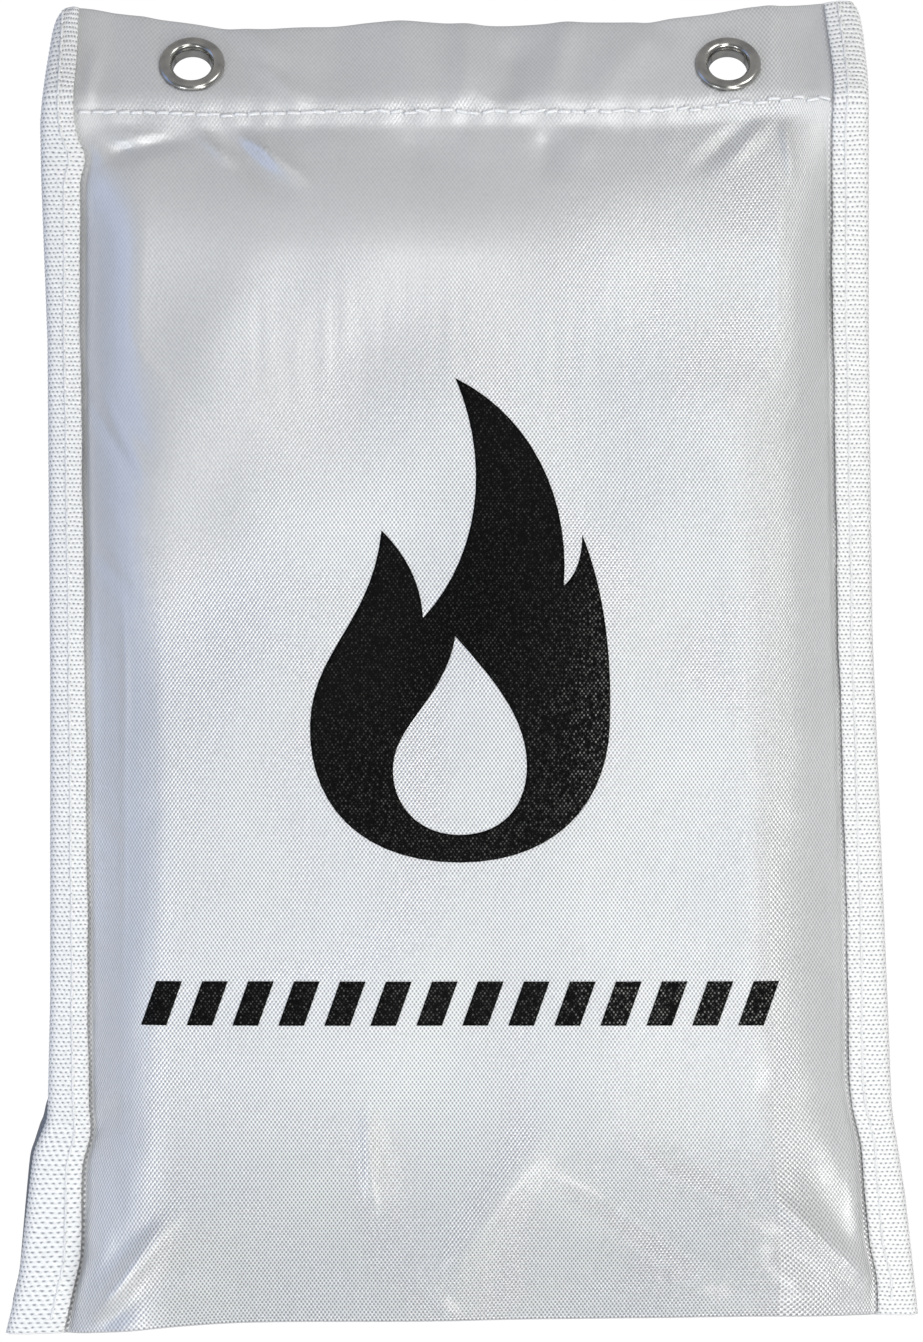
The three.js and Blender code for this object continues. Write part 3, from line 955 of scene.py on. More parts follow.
@dataclass(frozen=True)
class Panel:
    """One cloth panel of the pouch, from its lower edge to its end in the header."""

    form: PouchForm
    face: Face
    slope_columns: int = 24
    flat_columns: int = 66
    row_step: float = 1.1
    lip_radius: float = 0.55
    lip_hem: float = 9.0
    hem_overlap: float = 2.6
    puff: float = 3.0
    lip_tuck: float = 0.7
    hole: float = 5.6
    limit_edge: float = 3.0
    limit_gap: float = 0.45
    limit_rounding: float = 0.2
    tab_zone: tuple[float, float] = (58.0, 74.0)
    lip_zone: tuple[float, float] = (2.0, 7.0)
    seam_zone: tuple[float, float] = (80.0, 8.0)
    creases: tuple[Crease, ...] = (
        Crease((-49.5, 263.0), (-35.0, 249.5), 2.6, 1.6, 0.7),
        Crease((-54.0, 262.0), (-40.0, 246.0), -1.2, 2.6),
        Crease((-57.5, 261.0), (-49.0, 253.0), 2.0, 1.3, 0.5),
        Crease((-34.0, 263.5), (-27.0, 257.5), 0.7, 1.3, 0.4),
        Crease((-85.0, 262.5), (-72.5, 253.6), -2.1, 2.3, -0.4),
        Crease((-76.5, 254.0), (-57.0, 259.5), -2.0, 1.9, -0.4),
        Crease((-82.0, 259.0), (-66.0, 260.5), 0.8, 2.4),
        Crease((-74.0, 263.0), (-69.0, 258.5), 0.6, 1.3),
        Crease((-12.0, 263.0), (-8.0, 250.0), -0.6, 2.6),
        Crease((0.0, 263.0), (4.0, 252.0), 0.5, 2.4),
        Crease((19.0, 263.5), (19.5, 250.0), -1.5, 2.8),
        Crease((26.0, 263.0), (27.5, 252.0), 0.6, 2.2),
        Crease((36.0, 263.5), (36.0, 257.5), -0.8, 1.7),
        Crease((45.0, 263.0), (46.5, 255.0), 0.5, 2.2),
        Crease((53.3, 263.5), (53.0, 259.0), -0.7, 2.0),
        Crease((69.5, 265.0), (53.0, 251.0), -2.3, 1.9, 0.5),
        Crease((72.0, 264.0), (59.0, 250.5), 1.5, 1.6, 0.5),
        Crease((70.9, 261.5), (72.8, 247.0), 1.2, 1.0, 0.6),
        Crease((82.0, 266.0), (71.0, 260.0), -1.1, 2.0),
        Crease((81.5, 262.0), (78.0, 259.5), 0.7, 1.0),
        Crease((75.0, 249.0), (81.5, 246.5), -0.4, 1.2),
        Crease((-79.0, 3.0), (-62.0, 22.5), 3.0, 2.4, -0.6),
        Crease((-80.0, 0.5), (-62.0, 14.0), -2.0, 2.6, 0.3),
        Crease((-66.0, 20.0), (-30.0, 34.0), 1.1, 5.0),
        Crease((-62.0, 10.0), (-20.0, 18.0), -1.0, 6.0),
        Crease((-82.0, 41.0), (-74.0, 37.5), 0.9, 2.0),
        Crease((-82.0, 38.0), (-74.0, 47.5), -1.0, 2.2),
        Crease((-75.5, 36.0), (-74.0, 12.0), -0.8, 3.2),
        Crease((-19.5, 46.0), (-18.5, 26.0), 1.5, 1.8, 0.8),
        Crease((-16.0, 44.0), (-6.0, 18.0), -0.6, 4.5),
        Crease((-4.0, 9.0), (17.0, 42.0), 2.0, 4.5, 0.4),
        Crease((-1.0, 0.0), (-7.0, 7.5), 0.8, 1.1, 0.6),
        Crease((-8.0, 7.0), (1.0, 8.0), -0.5, 1.2),
        Crease((24.0, 33.0), (60.0, 9.0), -2.4, 4.4, 0.3),
        Crease((36.0, 36.0), (68.0, 20.0), 2.0, 4.0),
        Crease((20.0, 14.0), (44.0, 6.0), 0.6, 3.5),
        Crease((67.0, 27.0), (93.0, 4.0), 2.8, 2.2, -0.4),
        Crease((74.0, 36.0), (86.0, 14.0), -2.3, 3.8),
        Crease((67.0, 33.0), (69.0, 28.0), 0.7, 1.0),
        Crease((87.5, 36.0), (87.0, 11.0), 1.5, 2.4),
        Crease((64.0, 50.0), (88.0, 46.0), -0.5, 3.5),
        Crease((56.0, 2.0), (86.0, 5.0), 0.6, 2.0),
        Crease((-40.0, 140.0), (-30.0, 96.0), 0.30, 8.0),
        Crease((58.0, 215.0), (66.0, 60.0), 0.40, 6.0),
        Crease((-64.0, 150.0), (-66.0, 60.0), 0.35, 5.0),
        Crease((-60.0, 205.0), (-38.0, 238.0), 0.45, 7.0),
        Crease((5.0, 236.0), (14.0, 170.0), 0.35, 12.0),
    )

    @property
    def fold_start(self) -> float:
        """Where the front cloth starts to turn over at the header's top."""
        return self.form.header_top - self.form.front_layer - self.form.cloth / 2

    @property
    def fold_length(self) -> float:
        """The length of cloth in the header's top fold."""
        return math.pi * self.form.front_layer

    def surface(self, place: np.ndarray, run: np.ndarray) -> np.ndarray:
        """The cloth's middle surface.

        Args:
            place: The place across, from -3 to 3.
            run: The length of cloth from the lip.

        Returns:
            Points in the pouch's frame.
        """
        form = self.form
        if self.face is Face.BACK:
            x = form.across(place, run)
            stand = form.back_face * form.bulge(place, run)
            calm = smoothstep(run, 60.0, 120.0) * (1 - smoothstep(run, 200.0, 250.0))
            ripple = 0.25 * np.sin(x / 17.0 + run / 31.0) * form.bulge(place, run) * calm
            return form.seam_plane(x, run, stand - ripple)
        layer, radius = form.front_layer, self.lip_radius
        turn = np.clip((run - self.fold_start) / self.fold_length, 0, 1) * math.pi
        after = np.maximum(0.0, run - self.fold_start - self.fold_length)
        lip_turn = np.clip((radius - run) / radius, 0, math.pi)
        lip_after = np.maximum(0.0, radius - run - math.pi * radius)
        along = np.clip(run, radius, self.fold_start) + layer * np.sin(turn) - after
        along = along - radius * np.sin(lip_turn) + lip_after
        x = form.across(place, along)
        bulge = form.bulge(place, along)
        sideways = np.clip(1 - np.abs(x / 74.0) ** 2.3, 0, 1)
        crown = sideways * np.sin(np.pi * np.clip(along / 252.0, 0, 1)) ** 0.7
        stand = (form.front_face - form.cloth / 2 - layer) * bulge + self.puff * crown * bulge
        stand -= self.lip_tuck * (1 - smoothstep(along, 0.0, 9.0)) * np.clip(bulge * 2, 0, 1)
        stand *= run < self.fold_start
        return form.seam_plane(x, along, -layer * np.cos(turn) - stand + radius * (1 - np.cos(lip_turn)))

    def clear_of_blanket(self, points: np.ndarray) -> np.ndarray:
        """Keeps the front cloth off the folded blanket.

        Args:
            points: The cloth's points, in the pouch's frame.

        Returns:
            Each point's place before or behind the seam plane, moved forward where the blanket is too near.
        """
        form, edge = self.form, self.limit_edge
        x, y, z = points[..., 0], points[..., 1], points[..., 2]
        beside = smoothstep(form.filled_half + edge - np.abs(x), 0.0, edge)
        below_top = smoothstep(form.filled_top + edge - z, 0.0, edge)
        above = below_top * smoothstep(z, self.lip_hem, self.lip_hem + edge)
        over = y + form.fill(x, z) + self.limit_gap
        soft = 0.5 * (over + np.sqrt(over**2 + self.limit_rounding**2))
        return y - soft * beside * above

    @staticmethod
    def slack(x: np.ndarray, along: np.ndarray) -> np.ndarray:
        """The low uneven waves of loose cloth, deeper towards the lip."""
        draw = np.random.default_rng(41)
        total = np.zeros_like(x)
        for _ in range(26):
            pitch = draw.uniform(14.0, 60.0)
            heading = draw.uniform(0, math.pi)
            phase = draw.uniform(0, 2 * math.pi)
            run = x * math.cos(heading) + along * math.sin(heading)
            total += pitch * np.sin(run * 2 * math.pi / pitch + phase)
        low = 1 + 0.9 * np.exp(-along / 26.0)
        return 0.0022 * total * low

    def stations(self) -> tuple[np.ndarray, np.ndarray]:
        """The places across and the runs along at which the panel has points."""
        half = np.concatenate([
            np.linspace(0, 1, self.flat_columns + 1),
            np.linspace(1, 2, self.slope_columns + 1)[1:],
            [2.5, 3.0],
        ])
        places = np.concatenate([-half[:0:-1], half])
        form = self.form
        if self.face is Face.BACK:
            end = form.header_top - 2 * form.front_layer
            return places, np.linspace(form.back_lip, end, round((end - form.back_lip) / self.row_step))
        radius = self.lip_radius
        hem = np.linspace(-self.lip_hem, -(math.pi - 1) * radius, 7)[:-1]
        lip = np.linspace(-(math.pi - 1) * radius, radius, 7)
        main = np.linspace(radius, self.fold_start, round(self.fold_start / self.row_step))[1:]
        top = self.fold_start + np.linspace(0, self.fold_length, 9)[1:]
        down = self.header_run + np.arange(0, self.header_drop, self.row_step)[1:]
        return places, np.concatenate([hem, lip, main, top, down, [self.header_run + self.header_drop]])

    @property
    def header_run(self) -> float:
        """The length of cloth up to the end of the header's top fold."""
        return self.fold_start + self.fold_length

    @property
    def header_drop(self) -> float:
        """The length of the hem that hangs behind the header."""
        return self.fold_start - self.form.seam + self.hem_overlap

    def holding(self, places: np.ndarray, runs: np.ndarray) -> np.ndarray:
        """How firmly each point is held: by the seams, the hems and, on the back, by lying over the tabs."""
        form = self.form
        side = smoothstep(np.abs(places), 1.9, 2.1)[None, :]
        fades, held = self.seam_zone
        top = smoothstep(runs, form.seam - fades, form.seam - held)[:, None]
        low, free = self.tab_zone if self.face is Face.BACK else self.lip_zone
        lip = 1 - smoothstep(runs, low, free)[:, None]
        return np.maximum(np.maximum(side, top), lip)

    def relaxed(self, places: np.ndarray, runs: np.ndarray) -> np.ndarray:
        """The movement that the cloth simulation gives the panel, at each of its points."""
        held = self.holding(places, runs)
        coarse_places, coarse_runs = places[::2], np.append(runs[:-1:2], runs[-1])
        points = self.surface(coarse_places[None, :], coarse_runs[:, None])
        moved = ClothTrial().moved(points, self.holding(coarse_places, coarse_runs))
        rows = np.stack([
            np.stack([np.interp(places, coarse_places, line[:, axis]) for axis in range(3)], -1)
            for line in moved
        ])
        flat = rows.reshape(len(coarse_runs), -1)
        fine = np.stack([np.interp(runs, coarse_runs, flat[:, i]) for i in range(flat.shape[1])], -1)
        return fine.reshape(len(runs), len(places), 3) * (1 - held)[..., None]

    def made(self, cloth: bpy.types.Material) -> bpy.types.Object:
        """Builds the panel with its folds, creases and eyelet holes."""
        form = self.form
        places, runs = self.stations()
        points = self.surface(places[None, :], runs[:, None]) + self.relaxed(places, runs)
        free = 1 - smoothstep(runs, form.seam - 2.5, form.seam)[:, None]
        radius = self.lip_radius
        lie = np.where(runs > radius, runs, np.maximum(0.5 * radius, radius - runs - math.pi * radius))
        x, along = points[..., 0], np.broadcast_to(lie[:, None], points.shape[:2])
        if self.face is Face.FRONT:
            rise = sum(crease.rise(x, along) for crease in self.creases) + self.slack(x, along)
            reach = np.clip(form.bulge(places[None, :], lie[:, None]) * 5.0, 0, 1) * free
            points[..., 1] -= rise * reach
            points[..., 1] = self.clear_of_blanket(points)
        faces = grid_faces(len(runs), len(places))
        flat = points.reshape(-1, 3)
        keep = np.ones(len(flat), bool)
        for side in Side:
            centre = form.origin + np.array([side.value * form.eyelet_half, 0, 0])
            up = (flat - centre) @ np.array([0, math.sin(form.tilt), math.cos(form.tilt)])
            away = np.hypot(flat[:, 0] - centre[0], up)
            keep &= away > self.hole
        faces = [face for face in faces if keep[list(face)].all()]
        across = np.cumsum(np.concatenate([[0], np.diff(form.across(places, np.full_like(places, 150.0)))]))
        steps = np.linalg.norm(np.diff(points[len(runs) // 2], axis=0), axis=1)
        slope = np.cumsum(np.concatenate([[0], steps]))
        across = slope if slope[-1] > across[-1] else across
        cut = np.stack(np.broadcast_arrays(across[None, :], runs[:, None]), -1).reshape(-1, 2) * MM
        name = f"{self.face.name.lower()}_cloth"
        sheet = Piece(name, form.row(flat), faces, cut).made(cloth)
        sheet = thickened(sheet, form.cloth)
        finish_piece(sheet, Body.POUCH, "coated_cloth", f"{self.face.name.lower()}_panel")
        return sheet


@dataclass(frozen=True)
class Binding:
    """The tape folded round one side seam."""

    form: PouchForm
    side: Side
    row_step: float = 0.475
    rib: float = 0.07
    back_cover: float = 8.2
    stitch_pitch: float = 2.9
    thread: float = 0.25
    leg_columns: int = 9
    bight_columns: int = 8
    back_columns: int = 7

    def edge(self, along: np.ndarray) -> np.ndarray:
        """The tape's outer edge, from the middle of the pouch."""
        return self.form.edge(np.full_like(along, self.side.value), along)

    def inner(self, along: np.ndarray) -> np.ndarray:
        """The front leg's inner edge, from the middle of the pouch."""
        return self.form.inner(np.full_like(along, self.side.value), along)

    def wobble(self, along: np.ndarray, phase: float) -> np.ndarray:
        """A slow uneven wave, from -1 to 1, that makes the tape hand-sewn."""
        shift = phase + self.side.value
        waves = ((0.5, 6.1, 1), (0.3, 2.7, 2), (0.2, 13.0, 1))
        return sum(height * np.sin(along / pitch + turns * shift) for height, pitch, turns in waves)

    def sliver(self, along: np.ndarray) -> np.ndarray:
        """How far the back leg shows past the front one, near the mouth on the left."""
        if self.side is Side.RIGHT:
            return 0.0 * along
        return 0.5 * smoothstep(along, 2.0, 9.0) * (1 - smoothstep(along, 40.0, 50.0))

    def lining(self, reverse: bpy.types.Material) -> bpy.types.Object:
        """Builds a dark strip past the left tape near the mouth: painted shade where the tape's back leg
        lies in shadow.
        """
        form = self.form
        rows = np.arange(2.0, 49.0, 0.6)
        knots = [
            (2, 0.0), (7, 0.6), (14, 0.6), (25, 0.95), (33, 1.15),
            (38, 1.2), (42, 1.6), (46, 0.9), (49, 0.0),
        ]
        out = np.interp(rows, *np.array(knots).T)
        share = np.linspace(0, 1, 9)
        turn = share * math.pi
        inward = 1.2 - (out + 1.2)[:, None] * np.sin(turn)[None, :]
        behind = 2.75 + 4.6 * share[None, :] + 0 * inward
        x = self.side.value * (self.edge(rows)[:, None] - inward)
        along = np.broadcast_to(rows[:, None], x.shape)
        points = form.seam_plane(x, along, behind)
        cut = np.stack([behind, along], -1).reshape(-1, 2) * MM
        faces = grid_faces(len(rows), len(share))
        name = f"{self.side.label}_turned_edge"
        piece = Piece(name, form.row(points.reshape(-1, 3)), faces, cut).made(reverse)
        return finish_piece(thickened(piece, form.cloth), Body.POUCH, "coated_cloth")

    def made(self, tape: bpy.types.Material) -> bpy.types.Object:
        """Builds the tape."""
        form = self.form
        radius = form.binding_half + form.binding_thickness / 2
        rows = np.arange(0.0, form.header_top - 0.6, self.row_step)
        leg = np.linspace(1, 0, self.leg_columns)
        bight = np.linspace(-0.5 * math.pi, 0.5 * math.pi, self.bight_columns + 2)[1:-1]
        back = np.linspace(0, 1, self.back_columns)
        count = self.leg_columns + self.bight_columns + self.back_columns
        on_leg = slice(0, self.leg_columns)
        on_bight = slice(self.leg_columns, self.leg_columns + self.bight_columns)
        on_back = slice(self.leg_columns + self.bight_columns, count)
        inward = np.zeros((len(rows), count))
        behind = np.zeros((len(rows), count))
        cover = self.edge(rows) - self.inner(rows) + 0.18 * self.wobble(rows, 1.0)
        uneven = 0.15 * self.wobble(rows, 2.0)[:, None] * leg
        inward[:, on_leg] = radius + (cover - radius)[:, None] * leg
        behind[:, on_leg] = -radius - 0.30 * np.sin(np.pi * leg)[None, :] - uneven
        inward[:, on_bight] = radius - radius * np.cos(bight)
        behind[:, on_bight] = radius * np.sin(bight)
        inward[:, on_back] = radius + (self.back_cover - radius) * back
        behind[:, on_back] = radius + 0.2 * np.sin(np.pi * back)
        late = smoothstep(behind, -0.2 * radius, 0.9 * radius)
        inward -= self.sliver(rows)[:, None] * late
        rib = self.rib * np.cos(math.pi * np.arange(len(rows)))[:, None]
        behind -= rib * np.where(np.arange(count) < 13, 1, -1)
        inward -= rib * np.exp(-((np.arange(count) - 12.5) / 3.5) ** 2)
        x = self.side.value * (self.edge(rows)[:, None] - inward)
        along = np.broadcast_to(rows[:, None], x.shape)
        points = form.seam_plane(x, along, behind)
        run = np.linalg.norm(np.diff(points[len(rows) // 2], axis=0), axis=1)
        across = np.concatenate([[0], np.cumsum(run)])
        cut = np.stack(np.broadcast_arrays(across[None, :], along), -1).reshape(-1, 2) * MM
        faces = grid_faces(len(rows), count)
        name = f"{self.side.label}_binding_tape"
        piece = Piece(name, form.row(points.reshape(-1, 3)), faces, cut).made(tape)
        thickened(piece, form.binding_thickness * 0.8)
        return finish_piece(piece, Body.POUCH, "binding_tape", f"{self.side.label}_binding")

    def stitched(self, face: Face, thread: bpy.types.Material) -> bpy.types.Object:
        """Builds one face's row of stitches down the tape."""
        form = self.form
        kind = "needle" if face is Face.FRONT else "bobbin"
        bundle = Bundle(f"{self.side.label}_binding_{kind}_stitches")
        inset = 3.4 if self.side is Side.LEFT else 2.9
        for start in np.arange(3.0, form.header_top - 3.5, self.stitch_pitch):
            share = np.linspace(0, 1, 7)
            along = start + share * self.stitch_pitch * 0.92
            x = self.side.value * (self.inner(along) + inset + 0.12 * self.wobble(along, 5.0))
            dip = stitch_dip(7, 0.30)
            leg = -0.22 if face is Face.FRONT else 0.12
            off = form.stack(face) + leg + face.value * (0.14 - dip)
            path = form.seam_plane(x, along, off)
            bundle.add(path, self.thread, np.tile([0.0, face.value, 0.0], (7, 1)))
        made = bundle.made(form, thread)
        return finish_piece(made, Body.POUCH, "sewing_thread", f"{self.side.label}_binding_{kind}_thread")


@dataclass(frozen=True)
class HeaderSeam:
    """The irregular seam across the pouch below the eyelets."""

    form: PouchForm
    pitch: float = 2.85
    thread: float = 0.37
    ends: tuple[float, float] = (-83.6, 82.4)

    def made(self, face: Face, thread: bpy.types.Material) -> bpy.types.Object:
        """Builds one face's row of stitches."""
        form = self.form
        kind = "needle" if face is Face.FRONT else "bobbin"
        bundle = Bundle(f"header_{kind}_stitches")
        draw = np.random.default_rng(7 + face.value)
        surface = face.value * (form.front_layer + form.cloth / 2)
        for start in np.arange(self.ends[0], self.ends[1] - self.pitch, self.pitch):
            share = np.linspace(0, 1, 7)
            x = start + draw.uniform(-0.3, 0.3) + share * self.pitch * draw.uniform(0.82, 0.96)
            spread = 0.20 + 0.28 * float(smoothstep(x[0], -40.0, 10.0))
            first, last = draw.uniform(-spread, spread, 2)
            along = form.seam + first + (last - first) * share
            dip = stitch_dip(7, 0.34)
            path = form.seam_plane(x, along, surface + face.value * (0.48 - dip))
            bundle.add(path, self.thread * draw.uniform(0.9, 1.15), np.tile([0.0, face.value, 0.0], (7, 1)))
        made = bundle.made(form, thread)
        return finish_piece(made, Body.POUCH, "sewing_thread", f"header_{kind}_thread")


@dataclass(frozen=True)
class EyeletSet:
    """A hanging eyelet and the washer that its barrel is rolled over."""

    form: PouchForm
    side: Side
    bore: float = 4.25
    flange: float = 7.25
    segments: int = 112

    def _lathed(
        self, name: str, profile: list[tuple[float, float]], nickel: bpy.types.Material
    ) -> bpy.types.Object:
        """Turns a closed profile of (radius, depth) pairs into a ring on the header."""
        radius, depth = np.array(profile).T
        turn = np.linspace(0, 2 * math.pi, self.segments, endpoint=False)
        x = np.outer(radius, np.cos(turn))
        up = np.outer(radius, np.sin(turn))
        behind = np.broadcast_to(depth[:, None], x.shape)
        tilt = self.form.tilt
        y = behind * math.cos(tilt) + up * math.sin(tilt)
        z = up * math.cos(tilt) - behind * math.sin(tilt)
        place = np.array([self.side.value * self.form.eyelet_half, 0, 0])
        points = (np.stack([x, y, z], -1).reshape(-1, 3) + place) * MM
        rows, columns = x.shape
        faces = grid_faces(rows, columns, True)
        last = (rows - 1) * columns
        faces += [(last + c, last + (c + 1) % columns, (c + 1) % columns, c) for c in range(columns)]
        cut = np.stack([np.tile(turn / 7, rows), np.repeat(depth * MM, columns)], -1)
        return Piece(name, points, faces, cut).made(nickel)

    def made(self, nickel: bpy.types.Material) -> None:
        """Builds the eyelet and its washer."""
        inner, outer, face = self.bore, self.flange, -(self.form.binding_half - 0.15)
        middle, half = (inner + 0.35 + outer) / 2, (outer - inner - 0.35) / 2
        over = np.linspace(0, math.pi, 19)
        rolled = np.linspace(-0.4, math.pi - 0.3, 12)
        dome = [(middle - half * math.cos(a), face - 0.12 - 0.95 * math.sin(a)) for a in over]
        curl = [(5.25 + 0.62 * math.cos(a), 1.98 + 0.5 * math.sin(a)) for a in rolled]
        under = [(outer - 0.08, face), (inner + 0.55, face), (inner + 0.5, face + 0.2), (inner + 0.5, 1.70)]
        bore = [(inner + 0.02, 1.7), (inner, 1.0), (inner, 0.0), (inner + 0.02, -0.6)]
        bore.append((inner + 0.12, face + 0.1))
        label = self.side.label
        shell = self._lathed(f"{label}_eyelet_shell", [*dome, *under, *curl, *bore], nickel)
        finish_piece(shell, Body.POUCH, "nickel", f"{label}_eyelet")
        ring = [
            (4.95, 1.32), (6.95, 1.30), (7.22, 1.38), (7.25, 1.50),
            (7.0, 1.66), (6.2, 1.76), (5.3, 1.70), (4.98, 1.55),
        ]
        washer = self._lathed(f"{label}_eyelet_ring", ring, nickel)
        finish_piece(washer, Body.POUCH, "nickel", f"{label}_eyelet_washer")


@dataclass(frozen=True)
class Print:
    """The plain black flame and the row of slanted bars printed on the front."""

    form: PouchForm
    film: float = 0.05
    step: float = 1.0
    bars: int = 14
    bar_band: tuple[float, float] = (64.6, 74.2)
    bar_reach: float = 69.3
    bar_slant: float = 3.4
    bar_share: float = 0.56

    @staticmethod
    def _bezier(knots: list[tuple[float, float]], count: int = 14) -> list[tuple[float, float]]:
        """Points on a chain of cubic curves, whose knots are (end, handle, handle, end, handle, ...)."""
        found = []
        share = np.linspace(0, 1, count, endpoint=False)[:, None]
        for first in range(0, len(knots) - 1, 3):
            a, b, c, d = (np.array(knots[first + i]) for i in range(4))
            left = 1 - share
            curve = a * left**3 + 3 * b * share * left**2 + 3 * c * share**2 * left + d * share**3
            found += [tuple(point) for point in curve]
        return found

    def flame(self) -> tuple[list, list]:
        """The outlines of the flame and of the drop left clear inside it."""
        body = [
            (0.0, 100.0), (-22.0, 100.0), (-33.0, 113.0), (-32.5, 130.0), (-32.0, 146.0), (-19.0, 152.0),
            (-17.0, 172.0), (-11.0, 166.0), (-8.5, 160.0), (-8.0, 153.0), (4.0, 166.0), (7.0, 186.0),
            (-1.0, 205.0), (15.0, 197.0), (24.0, 180.0), (22.5, 160.0), (25.0, 162.0), (26.5, 166.0),
            (26.5, 171.0), (31.0, 160.0), (33.0, 146.0), (32.5, 130.0), (32.0, 112.0), (20.0, 100.0),
            (0.0, 100.0),
        ]
        drop = [
            (0.0, 106.0), (-9.5, 106.0), (-15.0, 113.0), (-14.5, 121.0), (-14.0, 130.0), (-3.0, 136.0),
            (-1.0, 149.0), (6.0, 141.0), (14.5, 132.0), (14.5, 121.0), (14.5, 112.0), (9.0, 106.0),
            (0.0, 106.0),
        ]
        return self._bezier(body), self._bezier(drop)

    def bar_outlines(self) -> list[list[tuple[float, float]]]:
        """The outlines of the slanted bars."""
        low, high = self.bar_band
        pitch = (2 * self.bar_reach - self.bar_slant) / (self.bars - 1 + self.bar_share)
        wide, lean = pitch * self.bar_share, self.bar_slant
        starts = [-self.bar_reach + pitch * i for i in range(self.bars)]
        return [[(x, low), (x + wide, low), (x + wide + lean, high), (x + lean, high)] for x in starts]

    def _dense(self, outline: list[tuple[float, float]]) -> list[tuple[float, float]]:
        """Adds points along an outline's long edges."""
        found = []
        for (ax, ay), (bx, by) in zip(outline, [*outline[1:], outline[0]]):
            count = max(1, round(math.hypot(bx - ax, by - ay) / self.step))
            found += [(ax + (bx - ax) * i / count, ay + (by - ay) * i / count) for i in range(count)]
        return found

    @staticmethod
    def _inside(points: np.ndarray, outline: list[tuple[float, float]]) -> np.ndarray:
        """Whether each point lies inside an outline."""
        found = np.zeros(len(points), bool)
        corners = np.array(outline)
        for (ax, ay), (bx, by) in zip(corners, np.roll(corners, -1, axis=0)):
            spans = (ay > points[:, 1]) != (by > points[:, 1])
            rise = by - ay if abs(by - ay) > 1e-9 else 1e-9
            found ^= spans & (points[:, 0] < (bx - ax) * (points[:, 1] - ay) / rise + ax)
        return found

    def made(
        self, name: str, outlines: list, holes: list, cloth: bpy.types.Object, ink: bpy.types.Material
    ) -> None:
        """Lays a film of ink on the cloth.

        Args:
            name: The piece's name.
            outlines: The film's outlines, as (x, along) pairs.
            holes: Outlines that stay clear.
            cloth: The front cloth that it lies on.
            ink: Its material.
        """
        loops = [self._dense(loop) for loop in (*outlines, *holes)]
        corners, edges = [], []
        for loop in loops:
            start = len(corners)
            corners += loop
            edges += [(start + i, start + (i + 1) % len(loop)) for i in range(len(loop))]
        low, high = np.min(corners, axis=0), np.max(corners, axis=0)
        lines = (np.arange(low[axis], high[axis], self.step) for axis in (0, 1))
        spots = np.stack(np.meshgrid(*lines), -1).reshape(-1, 2)
        gap = np.min(np.linalg.norm(spots[:, None] - np.array(corners)[None], axis=2), axis=1)
        corners += [tuple(spot) for spot in spots[gap > 0.4 * self.step]]
        vertices, _, triangles, *_ = delaunay_2d_cdt([Vector(c) for c in corners], edges, [], 0, 1e-6)
        flat = np.array([tuple(v) for v in vertices])
        middles = flat[np.array(triangles)].mean(1)
        wanted = np.any([self._inside(middles, loop) for loop in outlines], axis=0)
        for hole in holes:
            wanted &= ~self._inside(middles, hole)
        tree = BVHTree.FromObject(cloth, bpy.context.evaluated_depsgraph_get())
        found = np.zeros((len(flat), 3))
        for index, (x, along) in enumerate(flat):
            start = self.form.row(np.array([x, -60.0, along]))
            hit, normal, *_ = tree.ray_cast(Vector(start), Vector((0, 1, 0)))
            found[index] = start if hit is None else hit + normal * (1.6 * self.film * MM)
        faces = [tuple(t) for t, good in zip(triangles, wanted) if good]
        film = Piece(name, found, faces, flat * MM).made(ink)
        thickened(film, self.film)
        finish_piece(film, Body.POUCH, "coated_cloth")


